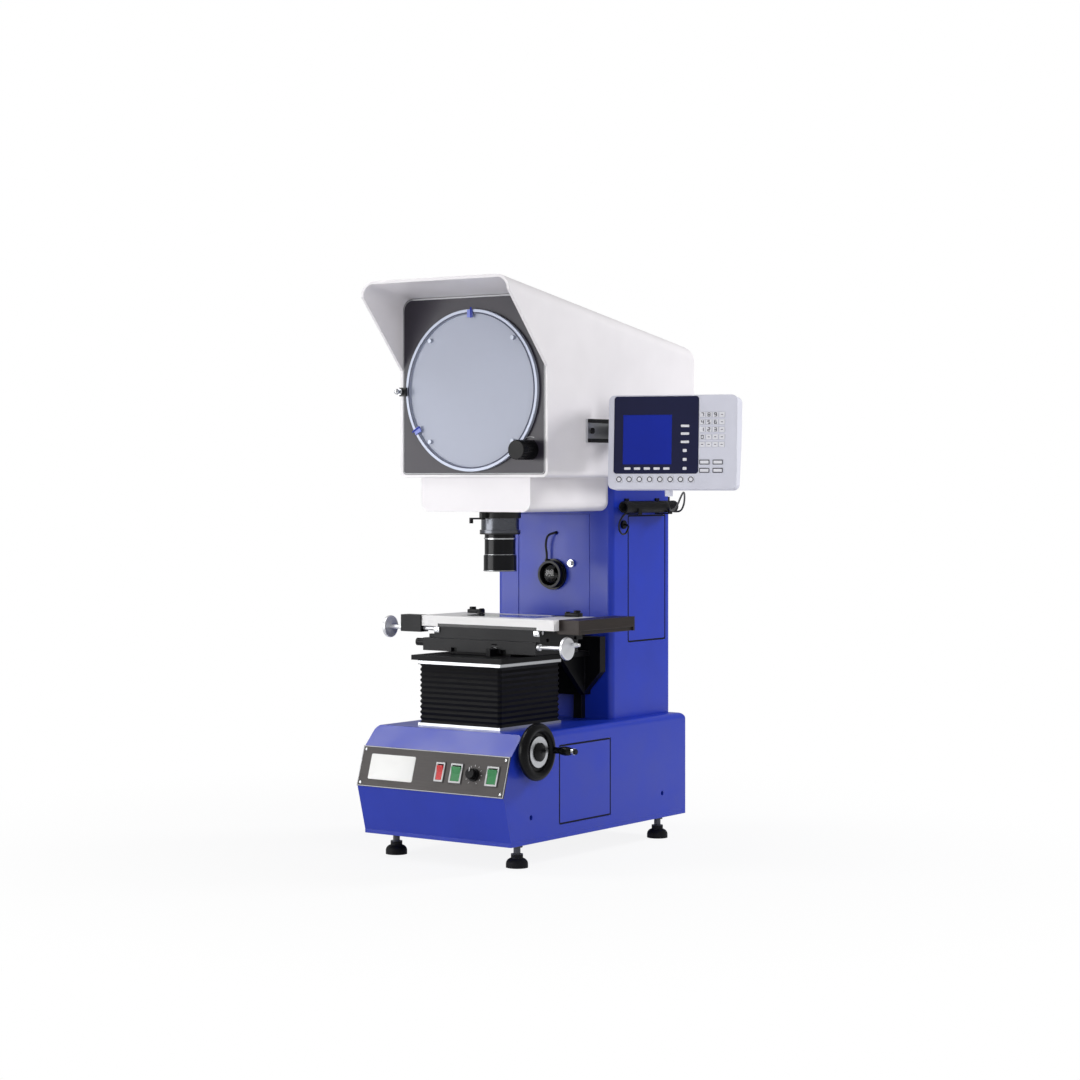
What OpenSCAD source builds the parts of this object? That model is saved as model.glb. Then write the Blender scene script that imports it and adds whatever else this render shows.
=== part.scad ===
// Vertical profile projector: a floor-standing base with a focusing stage, a column,
// and a head with a turning screen. Front faces -Y, +Z is up, the floor is z = 0.

/* [Base housing] */
// Width of the base
base_w = 364; // [356:1:384]
// Depth of the base along its underside
base_d = 650; // [644:1:670]
// Height of the base housing above the feet
base_h = 217; // [213:1:225]
// Wall of the base housing
base_wall = 6; // [6:0.5:8]
// Thickness of the floor plate
floor_t = 8; // [7:0.5:10]
// How far the nose stands in front of the underside's edge
nose_out = 25; // [21:1:28]
// Height of the nose above the underside
nose_h = 98; // [94:1:101]
// Height of the top of the control panel's face above the underside
seam_h = 177; // [175:1:182]
// How far the top surface starts behind the front edge
top_back = 40; // [36:1:45]
// Rounding of the base's upper side edges
base_r = 12; // [8:1:16]

/* [Feet] */
// Height of the levelling feet
foot_h = 48; // [46:1:54]
// Radius of a rubber pad
pad_r = 22; // [20:1:25]
// Height of a rubber pad
pad_h = 27; // [24:1:29]
// Radius of a foot's threaded stem
stem_r = 7; // [6:0.5:8]
// Distance of the feet from the sides
foot_inset = 31; // [28:1:36]
// Distance of the feet from the front and rear edges
foot_end = 64; // [56:1:72]

/* [Control panel] */
// Thickness of the control panel
panel_t = 3; // [2.5:0.5:4]
// Length of a rocker switch
rocker_l = 29; // [27:1:30]
// Travel of a rocker switch in degrees
rocker_swing = 16; // [12:1:18]
// Radius of the dimmer knob
dimmer_r = 13; // [11:0.5:15]

/* [Hand wheel and lift] */
// Outer radius of the hand wheel
wheel_r = 57; // [54:1:60]
// Radius of the hand wheel's rim section
rim_r = 10; // [9:0.5:11]
// Distance of the hand wheel's axis behind the front edge
wheel_y = 57; // [55:1:62]
// Height of the hand wheel's axis above the underside
wheel_h = 184; // [180:1:187]
// Radius of the hand wheel's shaft
shaft_r = 8; // [7:0.5:9]
// Length of the hand wheel's revolving grip
grip_l = 46; // [40:1:52]
// Module of the lift gears
gear_m = 1.5; // [1.4:0.05:1.6]
// Teeth of the lift pinions
pinion_teeth = 16; // [16:1:17]
// Teeth of the lift gear
wheel_teeth = 56; // [54:1:57]
// Focusing travel up and down from the middle
lift_travel = 45; // [40:1:46]

/* [Bellows] */
// Width of the bellows
bellows_w = 200; // [194:1:206]
// Depth of the bellows
bellows_d = 210; // [204:1:212]
// Distance of the bellows behind the front edge
bellows_y = 77; // [76:1:79]
// Number of folds
folds = 11; // [9:1:12]
// Depth of a fold
fold_d = 7; // [5:0.5:8]

/* [Stage] */
// Height of the table's top above the base
table_h = 221; // [218:1:226]
// Width of the table
table_w = 332; // [324:1:340]
// Depth of the table
table_d = 152; // [151:1:158]
// Thickness of the table
table_t = 22; // [20:1:24]
// Sideways place of the table as it is drawn
table_x = 20; // [15:1:24]
// Thickness of the cross carriage under the table
carriage_t = 24; // [23:1:26]
// Length of the cross carriage
carriage_w = 266; // [262:1:272]
// Width of the in-and-out saddle
saddle_w = 284; // [280:1:290]
// Thickness of the saddle
saddle_t = 26; // [26:1:28]
// Width of the glass plate in the table
glass_w = 190; // [184:1:196]
// Depth of the glass plate in the table
glass_d = 80; // [76:1:82]
// Radius of the cross screw
screw_r = 4.5; // [4:0.25:5]
// Pitch radius of the in-and-out pinion
pinion_r = 6; // [5.8:0.1:6.2]
// Radius of the crank discs
crank_r = 23; // [20:1:25]
// In-and-out travel each way
in_travel = 25; // [20:1:25]

/* [Column] */
// Width of the column
column_w = 294; // [286:1:300]
// Depth of the column
column_d = 232; // [228:1:234]
// Height of the column above the base
column_h = 506; // [500:1:515]
// Wall of the column
column_wall = 5; // [5:0.5:7]
// Rounding of the column's upright edges
column_r = 12; // [8:1:16]
// Width of the front cover
cover_w = 183; // [176:1:190]

/* [Head] */
// Width of the head
head_w = 370; // [366:1:380]
// Distance of the face plate behind the base's front edge
face_y = 122; // [119:1:125]
// Distance of the head's rear behind the base's front edge
head_rear = 681; // [672:1:700]
// Height of the head at the face plate
head_h = 376; // [372:1:384]
// Fall of the head's top towards the rear, in degrees
head_fall = 9.4; // [8.5:0.1:10]
// Wall of the head
head_wall = 6; // [5:0.5:7]
// Rounding of the head's top edges
head_r = 30; // [24:1:34]
// Radius of the head's lower edges
head_low_r = 14; // [10:1:16]
// How far the hood stands in front of the face plate
hood_out = 132; // [120:1:140]
// Height at which the hood's cheeks start
hood_low = 221; // [205:1:235]
// Height of the neck under the head
neck_h = 70; // [66:1:74]
// Width of the neck
neck_w = 274; // [264:1:284]
// Rounding of the neck's lower edges
neck_r = 20; // [14:1:24]

/* [Screen] */
// Distance of the screen's ring from the head's side
ring_side = 20; // [19:0.5:22]
// Distance of the screen's ring from the head's top at the face plate
ring_over = 34; // [32:0.5:38]
// Distance of the screen's ring from the head's underside
ring_under = 12; // [11:0.5:14]
// Width of the ring's visible face
ring_face = 9; // [8:0.5:10]
// Thickness of the screen's glass
screen_t = 6; // [5:0.5:7]
// Radius of the screen's turning knob
knob_r = 20; // [18:0.5:21]
// Length of the screen's turning knob
knob_l = 50; // [44:1:56]

/* [Projection lens] */
// Distance of the lens axis behind the front edge
lens_y = 218; // [217:1:220]
// Radius of the lens barrel
barrel_r = 32; // [30:0.5:34]
// Length of the lens barrel
barrel_l = 76; // [70:1:80]
// Height of the lens mount
mount_h = 47; // [44:1:50]

/* [Surface lamp] */
// Radius of the surface lamp's tube
lamp_r = 29; // [27:0.5:31]
// How far the surface lamp's tube stands in front of the column
lamp_out = 18; // [15:1:22]
// Height of the surface lamp above the base
lamp_h = 301; // [297:1:306]

/* [Readout] */
// Width of the readout's case
readout_w = 262; // [254:1:266]
// Height of the readout's case
readout_h = 190; // [184:1:194]
// Depth of the readout's case
readout_d = 55; // [50:1:58]
// Turn of the readout towards the operator's right, in degrees
readout_turn = 20; // [18:1:22]
// Lean of the readout, in degrees
readout_lean = 4; // [2:0.5:5]
// Radius of the readout's swivel pin
pin_r = 6; // [5:0.5:7]

/* [Hidden] */
$fn = 48;

// Clearances: a running shaft, a seated piece, two pieces that move past each other
run_gap = 0.05;
seat_gap = 0.2;
slide_gap = 0.4;
// Overshoot of a cut, so that it leaves no skin
cut = 1;

// Levels
floor_z = foot_h + floor_t;
base_z = foot_h + base_h;
head_z = base_z + column_h;
neck_z = head_z - neck_h;
table_z = base_z + table_h;
carriage_z = table_z - table_t;
saddle_z = carriage_z - carriage_t - slide_gap;
way_z = saddle_z - saddle_t - slide_gap;
ring_r = min(head_w / 2 - ring_side, (head_h - ring_over - ring_under) / 2);
screen_h = ring_under + ring_r;
screen_z = head_z + screen_h;

// Places in depth, counted from the base's front edge
function back(d) = d - base_d / 2;
column_y1 = base_d - 4;
column_y0 = column_y1 - column_d;
face = back(face_y);
lens = back(lens_y);

module box(x0, x1, y0, y1, z0, z1) {
  translate([x0, y0, z0]) cube([x1 - x0, y1 - y0, z1 - z0]);
}
// Outline in (y, z), drawn out along X from x0 to x1
module x_prism(x0, x1) {
  translate([x0, 0, 0]) rotate([90, 0, 90]) linear_extrude(x1 - x0) children();
}
// Outline in (x, z), drawn out along Y from y0 to y1
module y_prism(y0, y1) {
  translate([0, y1, 0]) rotate([90, 0, 0]) linear_extrude(y1 - y0) children();
}
// Round bars along X and Y
module x_bar(x0, x1, y, z, r) {
  translate([x0, y, z]) rotate([0, 90, 0]) cylinder(r = r, h = x1 - x0);
}
module y_bar(y0, y1, x, z, r) {
  translate([x, y0, z]) rotate([-90, 0, 0]) cylinder(r = r, h = y1 - y0);
}
// Rectangle with round corners, centred
module round_rect(w, h, r) {
  square([w - 2 * r, h], center = true);
  square([w, h - 2 * r], center = true);
  for (x = [-1, 1], y = [-1, 1]) translate([x * (w / 2 - r), y * (h / 2 - r)]) circle(r);
}
// Rectangle from y = 0 upwards with two round upper corners
module arch_rect(w, h, r) {
  translate([-w / 2 + r, 0]) square([w - 2 * r, h]);
  translate([-w / 2, 0]) square([w, h - r]);
  for (x = [-1, 1]) translate([x * (w / 2 - r), h - r]) circle(r);
}

// Spur gears: involute flanks at 20 degrees, thinned for backlash
backlash = 0.16;
function involute(a) = tan(a) * 180 / PI - a;
function flank(r, rp, teeth) =
  let (rb = rp * cos(20), a = r > rb ? acos(rb / r) : 0)
  90 / teeth - backlash / rp * 90 / PI + involute(20) - involute(a);
function gear_points(teeth, m, phase) =
  let (rp = m * teeth / 2, rb = rp * cos(20), ra = rp + m * 0.95, rf = rp - m * 1.25,
       radii = [min(rf, rb - 0.05), rb, (rb + ra) / 2, ra])
  [for (i = [0 : teeth - 1], k = [0 : 7])
    let (r = radii[k < 4 ? k : 7 - k], a = phase + i * 360 / teeth + (k < 4 ? -1 : 1) * flank(r, rp, teeth))
    [r * cos(a), r * sin(a)]];
// Straight rack: teeth on the lower edge's pitch line y = 0, a gap at x = 0, body of the given height
function rack_points(n, m, body) =
  let (p = PI * m, tip = m * 0.95, root = m * 1.25, half = p / 4 - backlash / 2)
  concat([for (i = [-n : n - 1], k = [0 : 3])
    let (c = (i + 0.5) * p, s = k < 2 ? -1 : 1, low = k == 1 || k == 2)
    [c + s * (half + (low ? -tip : root) * tan(20)), low ? -tip : root]],
    [[n * p, root], [n * p, body], [-n * p, body], [-n * p, root]]);

// Base housing

shell_z = floor_z;
panel_rise = seam_h - nose_h;
panel_lean = atan2(nose_out, panel_rise);
panel_l = norm([nose_out, panel_rise]);
lift_hole_r = 5.1;
lift_hole_z = foot_h + 52;
lift_holes = [68, base_d - 94];
rear_r = 15;
door_t = 5;
door_gap = 0.6;
hinge_r = 1.5;
hinge_l = 8;
base_door_y = [166, 356];
base_door_z = [foot_h + 27, foot_h + 187];
inlet_w = 48;
inlet_h = 28;
inlet_z = foot_h + 60;
inlet_rim = 5;
inlet_in = 20;
inlet_out = 18;

module base_outline() {
  y0 = back(0);
  polygon([[y0, shell_z], [y0 - nose_out, foot_h + nose_h], [y0, foot_h + seam_h],
    [y0 + top_back, base_z], [y0 + base_d - rear_r, base_z], [y0 + base_d, base_z - rear_r],
    [y0 + base_d, shell_z]]);
  translate([y0 + base_d - rear_r, base_z - rear_r]) circle(rear_r);
}
module base_hollow() {
  y0 = back(0);
  t = base_wall;
  polygon([[y0 + t, shell_z - cut], [y0 - nose_out + 1.2 * t, foot_h + nose_h], [y0 + 1.1 * t,
      foot_h + seam_h],
    [y0 + top_back + 0.4 * t, base_z - t], [y0 + base_d - t, base_z - t], [y0 + base_d - t, shell_z - cut]]);
}
// Puts children on the slanted panel face: x across, y up the slope, z outwards
module on_panel() {
  translate([0, back(-nose_out / 2), foot_h + (nose_h + seam_h) / 2]) rotate([90 - panel_lean, 0,
      0]) children();
}
module lift_bosses(r, l) {
  for (s = [-1, 1], y = lift_holes)
    translate([s * base_w / 2, back(y), lift_hole_z]) rotate([0, -s * 90, 0]) cylinder(r = r, h = l);
}
module base_shell() color("mediumblue") difference() {
  union() {
    difference() {
      intersection() {
        x_prism(-base_w / 2, base_w / 2) base_outline();
        y_prism(back(-nose_out) - cut, back(base_d) + cut)
          translate([0, shell_z]) arch_rect(base_w, base_z - shell_z, base_r);
      }
      x_prism(-base_w / 2 + base_wall, base_w / 2 - base_wall) base_hollow();
    }
    lift_bosses(14, 20);
  }
  lift_bosses(lift_hole_r, 20 + cut);
  // Light well under the bellows
  box(-bellows_w / 2 + 16, bellows_w / 2 - 16, back(bellows_y + 14), back(bellows_y + bellows_d - 14),
    base_z - base_wall - cut, base_z + cut);
  box(base_w / 2 - base_wall - cut, base_w / 2 + cut, back(base_door_y[0]), back(base_door_y[1]),
    base_door_z[0], base_door_z[1]);
  door_pin_holes(base_w / 2, base_door_y, base_door_z);
  x_bar(0, base_w / 2 + cut, back(wheel_y), foot_h + wheel_h, boss_neck_r + seat_gap);
  on_panel() translate([switch_x0, -panel_l * 0.31, -3 * base_wall])
    cube([switch_x1 - switch_x0, panel_l * 0.62, 3 * base_wall + cut]);
  box(-inlet_w / 2, inlet_w / 2, back(base_d) - base_wall - cut, back(base_d) + cut, inlet_z,
      inlet_z + inlet_h);
  for (i = [0 : 5])
    box(50, 130, back(base_d) - base_wall - cut, back(base_d) + cut, foot_h + 60 + i * 16,
        foot_h + 65 + i * 16);
}
module base_floor() color("mediumblue") difference() {
  box(-base_w / 2, base_w / 2, back(0), back(base_d), foot_h, floor_z);
  at_feet() translate([0, 0, foot_h - cut]) cylinder(r = stem_r + run_gap, h = floor_t + 2 * cut);
}
module at_feet() {
  for (x = [-1, 1], y = [foot_end, base_d - foot_end])
    translate([x * (base_w / 2 - foot_inset), back(y), 0]) children();
}
module levelling_feet() at_feet() {
  stem_z = pad_h / 2;
  nut_h = 8;
  color("silver") {
    translate([0, 0, stem_z]) cylinder(r = stem_r, h = floor_z + 6 - stem_z);
    translate([0, 0, foot_h - nut_h]) difference() {
      cylinder(r = stem_r * 1.8, h = nut_h, $fn = 6);
      translate([0, 0, -cut]) cylinder(r = stem_r + run_gap, h = nut_h + 2 * cut);
    }
  }
  color("black") difference() {
    rotate_extrude() {
      square([pad_r, 7]);
      translate([0, 7]) square([pad_r * 0.55, pad_h - 7]);
      intersection() {
        translate([pad_r * 0.55 - 2, 7]) circle(pad_r * 0.45 + 2);
        translate([0, 7]) square([pad_r, pad_h - 7]);
      }
    }
    translate([0, 0, stem_z]) cylinder(r = stem_r + run_gap, h = pad_h);
  }
}

// Doors on concealed pins: outer face at x, span in y and z, hinge at the rear edge
function door_axis(x, ys) = [x - door_t / 2, back(ys[1]) - door_gap - door_t / 2];
module door_pin_holes(x, ys, zs) {
  a = door_axis(x, ys);
  for (z = [zs[0] - hinge_l, zs[1] - cut]) translate([a[0], a[1], z]) cylinder(r = hinge_r + run_gap / 2,
      h = hinge_l + cut);
}
module door(x, ys, zs) {
  a = door_axis(x, ys);
  z0 = zs[0] + door_gap;
  h = zs[1] - zs[0] - 2 * door_gap;
  difference() {
    union() {
      translate([x - door_t, back(ys[0]) + door_gap, z0]) cube([door_t, a[1] - back(ys[0]) - door_gap, h]);
      translate([a[0], a[1], z0]) cylinder(r = door_t / 2, h = h);
    }
    for (z = [z0 - cut, z0 + h - hinge_l]) translate([a[0], a[1], z]) cylinder(r = hinge_r + run_gap,
        h = hinge_l + cut);
  }
}
module base_door() color("mediumblue") door(base_w / 2, base_door_y, base_door_z);
module column_door() color("mediumblue") door(column_w / 2, column_door_y, column_door_z);
module hinge_pins() color("silver")
  for (d = [[base_w / 2, base_door_y, base_door_z], [column_w / 2, column_door_y, column_door_z]])
    let (a = door_axis(d[0], d[1]))
    for (z = [d[2][0] - hinge_l + 1, d[2][1] + door_gap - hinge_l])
      translate([a[0], a[1], z]) cylinder(r = hinge_r, h = 2 * hinge_l - door_gap - 1);

// Control panel with its switches

switch_w = [15, 22, 22];
switch_x = [base_w / 2 - 162, base_w / 2 - 122, base_w / 2 - 34];
switch_x0 = switch_x[0] - 18;
switch_x1 = switch_x[2] + 24;
dimmer_x = base_w / 2 - 79;
frame_w = 3;
frame_rise = 2;
rocker_gap = 1.6;
rocker_pivot = -4;
trunnion_r = 1.5;

module control_panel() on_panel() {
  color("dimgray") difference() {
    translate([-base_w / 2, -panel_l / 2, 0]) cube([base_w, panel_l, panel_t]);
    for (i = [0 : 2]) translate([switch_x[i], 0, panel_t / 2])
      cube([switch_w[i] + 2 * frame_w, rocker_l + 2 * rocker_gap + 2 * frame_w, panel_t + 2 * cut],
          center = true);
    translate([dimmer_x, 0, -cut]) cylinder(r = spindle_r + run_gap, h = panel_t + 2 * cut);
  }
  color("white") for (i = [0 : 2]) translate([switch_x[i], 0, 0]) difference() {
    union() {
      frame_block(switch_w[i], 0, -12, panel_t);
      frame_block(switch_w[i], 1.5, panel_t, panel_t + frame_rise);
    }
    translate([0, 0, -20]) linear_extrude(40) square([switch_w[i] + 2 * seat_gap,
        rocker_l + 2 * rocker_gap], center = true);
    x_bar(-switch_w[i], switch_w[i], 0, rocker_pivot, trunnion_r + run_gap);
  }
}
module frame_block(w, more, z0, z1) {
  side = 2 * (frame_w + more);
  translate([0, 0, z0]) linear_extrude(z1 - z0) square([w + side, rocker_l + 2 * rocker_gap + side],
      center = true);
}
module rocker(i) on_panel() translate([switch_x[i], 0, rocker_pivot]) rotate([rocker_swing / 2, 0, 0]) {
  w = switch_w[i];
  top = panel_t + frame_rise - rocker_pivot;
  x_prism(-w / 2, w / 2) polygon([[-rocker_l / 2, top + 1.5], [0, top - 0.6], [rocker_l / 2, top + 1.5],
    [rocker_l / 2 - 1.5, -1], [4, -5], [-4, -5], [-rocker_l / 2 + 1.5, -1]]);
  x_bar(-w / 2 - frame_w + 0.5, w / 2 + frame_w - 0.5, 0, 0, trunnion_r);
}
module power_rocker() color("red") rocker(0);
module contour_rocker() color("green") rocker(1);
module surface_rocker() color("green") rocker(2);
spindle_r = 3;
module dimmer_knob() color("black") on_panel() translate([dimmer_x, 0, 0]) {
  translate([0, 0, -8]) cylinder(r = spindle_r, h = panel_t + 12);
  translate([0, 0, panel_t + slide_gap]) difference() {
    union() {
      cylinder(r = dimmer_r, h = 3);
      cylinder(r = dimmer_r * 0.78, h = 15);
    }
    for (i = [0 : 11]) rotate(i * 30) translate([dimmer_r * 0.86, 0, 4]) cylinder(r = 1.6, h = 12);
  }
}
module power_inlet() color("black") difference() {
  union() {
    box(-inlet_w / 2 + seat_gap, inlet_w / 2 - seat_gap, back(base_d) - inlet_in, back(base_d) + cut,
      inlet_z + seat_gap, inlet_z + inlet_h - seat_gap);
    box(-inlet_w / 2 - inlet_rim, inlet_w / 2 + inlet_rim, back(base_d), back(base_d) + inlet_out,
      inlet_z - inlet_rim, inlet_z + inlet_h + inlet_rim);
  }
  box(-inlet_w / 2 + 2 * inlet_rim, inlet_w / 2 - 2 * inlet_rim, back(base_d) + 2,
      back(base_d) + inlet_out + cut,
    inlet_z + inlet_rim, inlet_z + inlet_h - inlet_rim);
}

// Transmitted light: lamp house, condenser and folding mirror in the base

beam_z = foot_h + 112;
beam_r = 26;
lamp_y0 = lens_y + 92;
mirror_t = 6;
fold_l = 84;
fold_w = 64;

module lamp_house() color("silver") {
  y0 = back(lamp_y0);
  difference() {
    union() {
      box(-42, 42, y0, y0 + 110, beam_z - 40, beam_z + 40);
      box(-30, 30, y0 + 10, y0 + 100, floor_z, beam_z);
      box(-50, 50, y0 + 4, y0 + 106, floor_z, floor_z + 6);
      y_bar(y0 - 22, y0, 0, beam_z, beam_r + 5);
      for (i = [0 : 6]) box(-50, 50, y0 + 14 + i * 14, y0 + 18 + i * 14, beam_z - 34, beam_z + 46);
    }
    y_bar(y0 - 22 - cut, y0 + 20, 0, beam_z, beam_r + run_gap);
  }
  // Wedge that carries the folding mirror
  reach = fold_l / 2 * cos(45);
  drop = mirror_t / sin(45);
  x_prism(-fold_w / 2, fold_w / 2) polygon([[lens - reach, floor_z], [lens + reach, floor_z],
    [lens + reach, beam_z - reach - drop], [lens - reach, beam_z + reach - drop]]);
  box(-fold_w / 2, fold_w / 2, lens + reach, y0 + 10, floor_z, floor_z + 6);
}
// Disc of thickness t with a domed face; a narrow flat rim is left round the dome
dome_rim = 0.4;
module lens_disc(r, t, bulge) {
  c = r - dome_rim;
  s = (c * c + bulge * bulge) / (2 * bulge);
  rotate_extrude() {
    square([r, t]);
    intersection() {
      translate([0, t + bulge - s]) circle(s, $fn = 96);
      square([r, t + bulge]);
    }
  }
}
module lenses() color("lightcyan") {
  translate([0, back(lamp_y0) - 12, beam_z]) rotate([90, 0, 0]) lens_disc(beam_r, 5, 4);
  translate([0, back(column_y0) - lamp_out + 11, base_z + lamp_h]) rotate([90, 0,
      0]) lens_disc(lamp_r - 5, 4, 5);
  translate([0, lens, barrel_z + 10]) rotate([180, 0, 0]) lens_disc(barrel_r - 8 - run_gap, 4, 3);
}
// Mirrors: centre, angle of the plate from upright, width and length
rear_mirror = [back(head_rear) - 80, screen_z - 17, 14.4];
rear_mirror_l = 1.454545 * ring_r;
relay_mirror = [lens, neck_z + 41, -30.6];
module mirror_plate(p, w, l) {
  translate([-w / 2, p[0], p[1]]) rotate([p[2], 0, 0]) translate([0, 0, -l / 2]) cube([w, mirror_t, l]);
}
module mirrors() color("gainsboro") {
  translate([-fold_w / 2, lens, beam_z]) rotate([45, 0, 0]) translate([0, -mirror_t, -fold_l / 2])
    cube([fold_w, mirror_t, fold_l]);
  mirror_plate(rear_mirror, rear_mirror_l, rear_mirror_l);
  translate([-30, relay_mirror[0], relay_mirror[1]]) rotate([relay_mirror[2], 0, 0])
    translate([0, -mirror_t, -35]) cube([60, mirror_t, 70]);
}

// Lift drive: hand wheel shaft, counter gear and rack

shaft_y = back(wheel_y);
shaft_z = foot_h + wheel_h;
small_r = gear_m * pinion_teeth / 2;
large_r = gear_m * wheel_teeth / 2;
counter_y = shaft_y + 31;
counter_z = shaft_z - sqrt(pow(small_r + large_r, 2) - pow(counter_y - shaft_y, 2));
mesh_a = atan2(counter_z - shaft_z, counter_y - shaft_y);
rack_y = counter_y + small_r;
rack_w = 18;
rack_d = 20;
rack_n = ceil((lift_travel + 10) / (PI * gear_m));
gear_w = 12;
plate_t = 8;
frame_x0 = -rack_w / 2 - 7;
frame_x1 = rack_w / 2 + gear_w + 12;
counter_r = 6;
boss_neck_r = shaft_r + 4;
boss_h = 12;
boss_r = base_h - wheel_h - base_r - 1;
wheel_x = base_w / 2 + boss_h + slide_gap;

module gear_frame() color("gray") difference() {
  union() {
    for (x = [frame_x0 - plate_t, frame_x1])
      x_prism(x, x + plate_t) polygon([[shaft_y - 16, floor_z], [rack_y + 42, floor_z], [rack_y + 42,
          counter_z + 20],
        [shaft_y + 18, shaft_z + 16], [shaft_y - 16, shaft_z + 16]]);
    box(frame_x0 - plate_t - 14, frame_x1 + plate_t + 14, shaft_y - 16, rack_y + 42, floor_z, floor_z + 6);
    box(frame_x0, rack_w / 2 + 2, rack_y + rack_d + slide_gap, rack_y + 42, counter_z - 20, counter_z + 20);
  }
  x_bar(frame_x0 - plate_t - cut, frame_x1 + plate_t + cut, shaft_y, shaft_z, shaft_r + run_gap);
  x_bar(frame_x0 - plate_t - cut, frame_x1 + plate_t + cut, counter_y, counter_z, counter_r + run_gap);
}
module handwheel_boss() color("black") difference() {
  union() {
    x_bar(base_w / 2, base_w / 2 + boss_h, shaft_y, shaft_z, boss_r);
    x_bar(base_w / 2 - base_wall - 6, base_w / 2, shaft_y, shaft_z, boss_neck_r);
  }
  x_bar(base_w / 2 - base_wall - 6 - cut, base_w / 2 + boss_h + cut, shaft_y, shaft_z, shaft_r + run_gap);
}
web_x = wheel_x + rim_r + 1;
hub_ring_r = wheel_r * 0.54;
module handwheel_shaft() color("silver") {
  x_bar(frame_x0 - plate_t, web_x, shaft_y, shaft_z, shaft_r);
  x_bar(web_x, web_x + 4, shaft_y, shaft_z, hub_ring_r);
  x_prism(rack_w / 2 + 4, rack_w / 2 + 4 + gear_w + 2)
    translate([shaft_y, shaft_z]) polygon(gear_points(pinion_teeth, gear_m, mesh_a));
}
grip_at = wheel_r - rim_r;
grip_x = wheel_x + 2 * rim_r;
grip_pin_r = 3.5;
module handwheel() color("black") {
  translate([wheel_x, shaft_y, shaft_z]) rotate([0, 90, 0]) difference() {
    rotate_extrude($fn = 96) {
      translate([0, 1]) square([wheel_r - rim_r, rim_r]);
      translate([wheel_r - rim_r, rim_r]) circle(rim_r);
    }
    translate([0, 0, -cut]) cylinder(r = shaft_r + run_gap, h = 4 * rim_r);
  }
  x_bar(grip_x - rim_r, grip_x + grip_l + 1, shaft_y + grip_at, shaft_z, grip_pin_r);
  x_bar(grip_x + grip_l + 2 * slide_gap, grip_x + grip_l + 5, shaft_y + grip_at, shaft_z, grip_pin_r + 2);
  translate([web_x + 4, shaft_y, shaft_z]) rotate([0, 90, 0]) lens_disc(hub_ring_r * 0.6, 3, 3);
}
// Barrel grip on a pin along +X
module barrel_grip(l, r, bore) {
  rotate([0, 90, 0]) rotate_extrude() difference() {
    union() {
      square([r * 0.72, l]);
      intersection() {
        translate([r - l * 0.9, l * 0.55]) circle(l * 0.9, $fn = 96);
        square([r, l]);
      }
    }
    translate([0, -cut]) square([bore, l + 2 * cut]);
  }
}
module handwheel_grip() color("black") translate([grip_x + slide_gap, shaft_y + grip_at, shaft_z])
  barrel_grip(grip_l, 9, grip_pin_r + run_gap);
module lift_gear() color("goldenrod") {
  x_bar(frame_x0 - plate_t, frame_x1 + plate_t, counter_y, counter_z, counter_r);
  x_prism(-rack_w / 2 - 1, rack_w / 2 + 1) translate([counter_y, counter_z])
    polygon(gear_points(pinion_teeth, gear_m, 0));
  x_prism(rack_w / 2 + 5, rack_w / 2 + 5 + gear_w) translate([counter_y, counter_z])
    polygon(gear_points(wheel_teeth, gear_m, mesh_a + 180 + 180 / wheel_teeth));
}
module lift_rack() color("silver") {
  x_prism(-rack_w / 2, rack_w / 2) translate([rack_y, counter_z]) rotate(-90) mirror([1, 0])
    polygon(rack_points(rack_n, gear_m, rack_d));
  box(-rack_w / 2, rack_w / 2, rack_y + gear_m * 1.25, rack_y + rack_d, counter_z + rack_n * PI * gear_m,
      frame_top);
}

// Bellows between the base and the knee

frame_t = 6;
knee_frame_t = 9;
flange_t = 10;
flange_z = way_z - 4 - flange_t;
frame_top = flange_z;
bellows_z0 = base_z + frame_t;
bellows_z1 = flange_z - knee_frame_t;
bellows_t = 1.5;
bellows_mid = back(bellows_y + bellows_d / 2);

module bellows() color("black") {
  n = 2 * folds;
  rings = concat([for (k = [0 : n]) [k, 0]], [for (k = [n : -1 : 0]) [k, bellows_t]]);
  count = len(rings);
  corner = [[-1, -1], [1, -1], [1, 1], [-1, 1]];
  points = [for (q = rings, c = corner)
    let (inset = (q[0] % 2 == 0 ? fold_d : 0) + q[1])
    [c[0] * (bellows_w / 2 - inset), bellows_mid + c[1] * (bellows_d / 2 - inset),
      bellows_z0 + (bellows_z1 - bellows_z0) * q[0] / n]];
  faces = [for (i = [0 : count - 1], j = [0 : 3])
    [4 * i + j, 4 * ((i + 1) % count) + j, 4 * ((i + 1) % count) + (j + 1) % 4, 4 * i + (j + 1) % 4]];
  polyhedron(points, faces);
}
module frame_ring(z, h, more) {
  difference() {
    box(-bellows_w / 2 - more, bellows_w / 2 + more, bellows_mid - bellows_d / 2 - more,
      bellows_mid + bellows_d / 2 + more, z, z + h);
    box(-bellows_w / 2 + 15, bellows_w / 2 - 15, bellows_mid - bellows_d / 2 + 14,
        bellows_mid + bellows_d / 2 - 14,
      z - cut, z + h + cut);
  }
}
module bellows_frame() color("silver") frame_ring(base_z, frame_t, 3);

// Column

column_door_y = [475, 625];
column_door_z = [base_z + 158, base_z + 427];
cover_z0 = base_z + 210;
cover_z1 = neck_z - 6;
cover_t = 4;
// Open seam round the cover
seam_gap = 1.2;
rail_x = 70;
rail_w = 20;
rail_d = 14;
rail_z0 = base_z;
rail_z1 = flange_z + flange_t + lift_travel + 20;
gland_y = column_door_y[0] - 19;
gland_z = column_door_z[1] - 20;
gland_r = 5;
thumb_x = 46;

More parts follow.
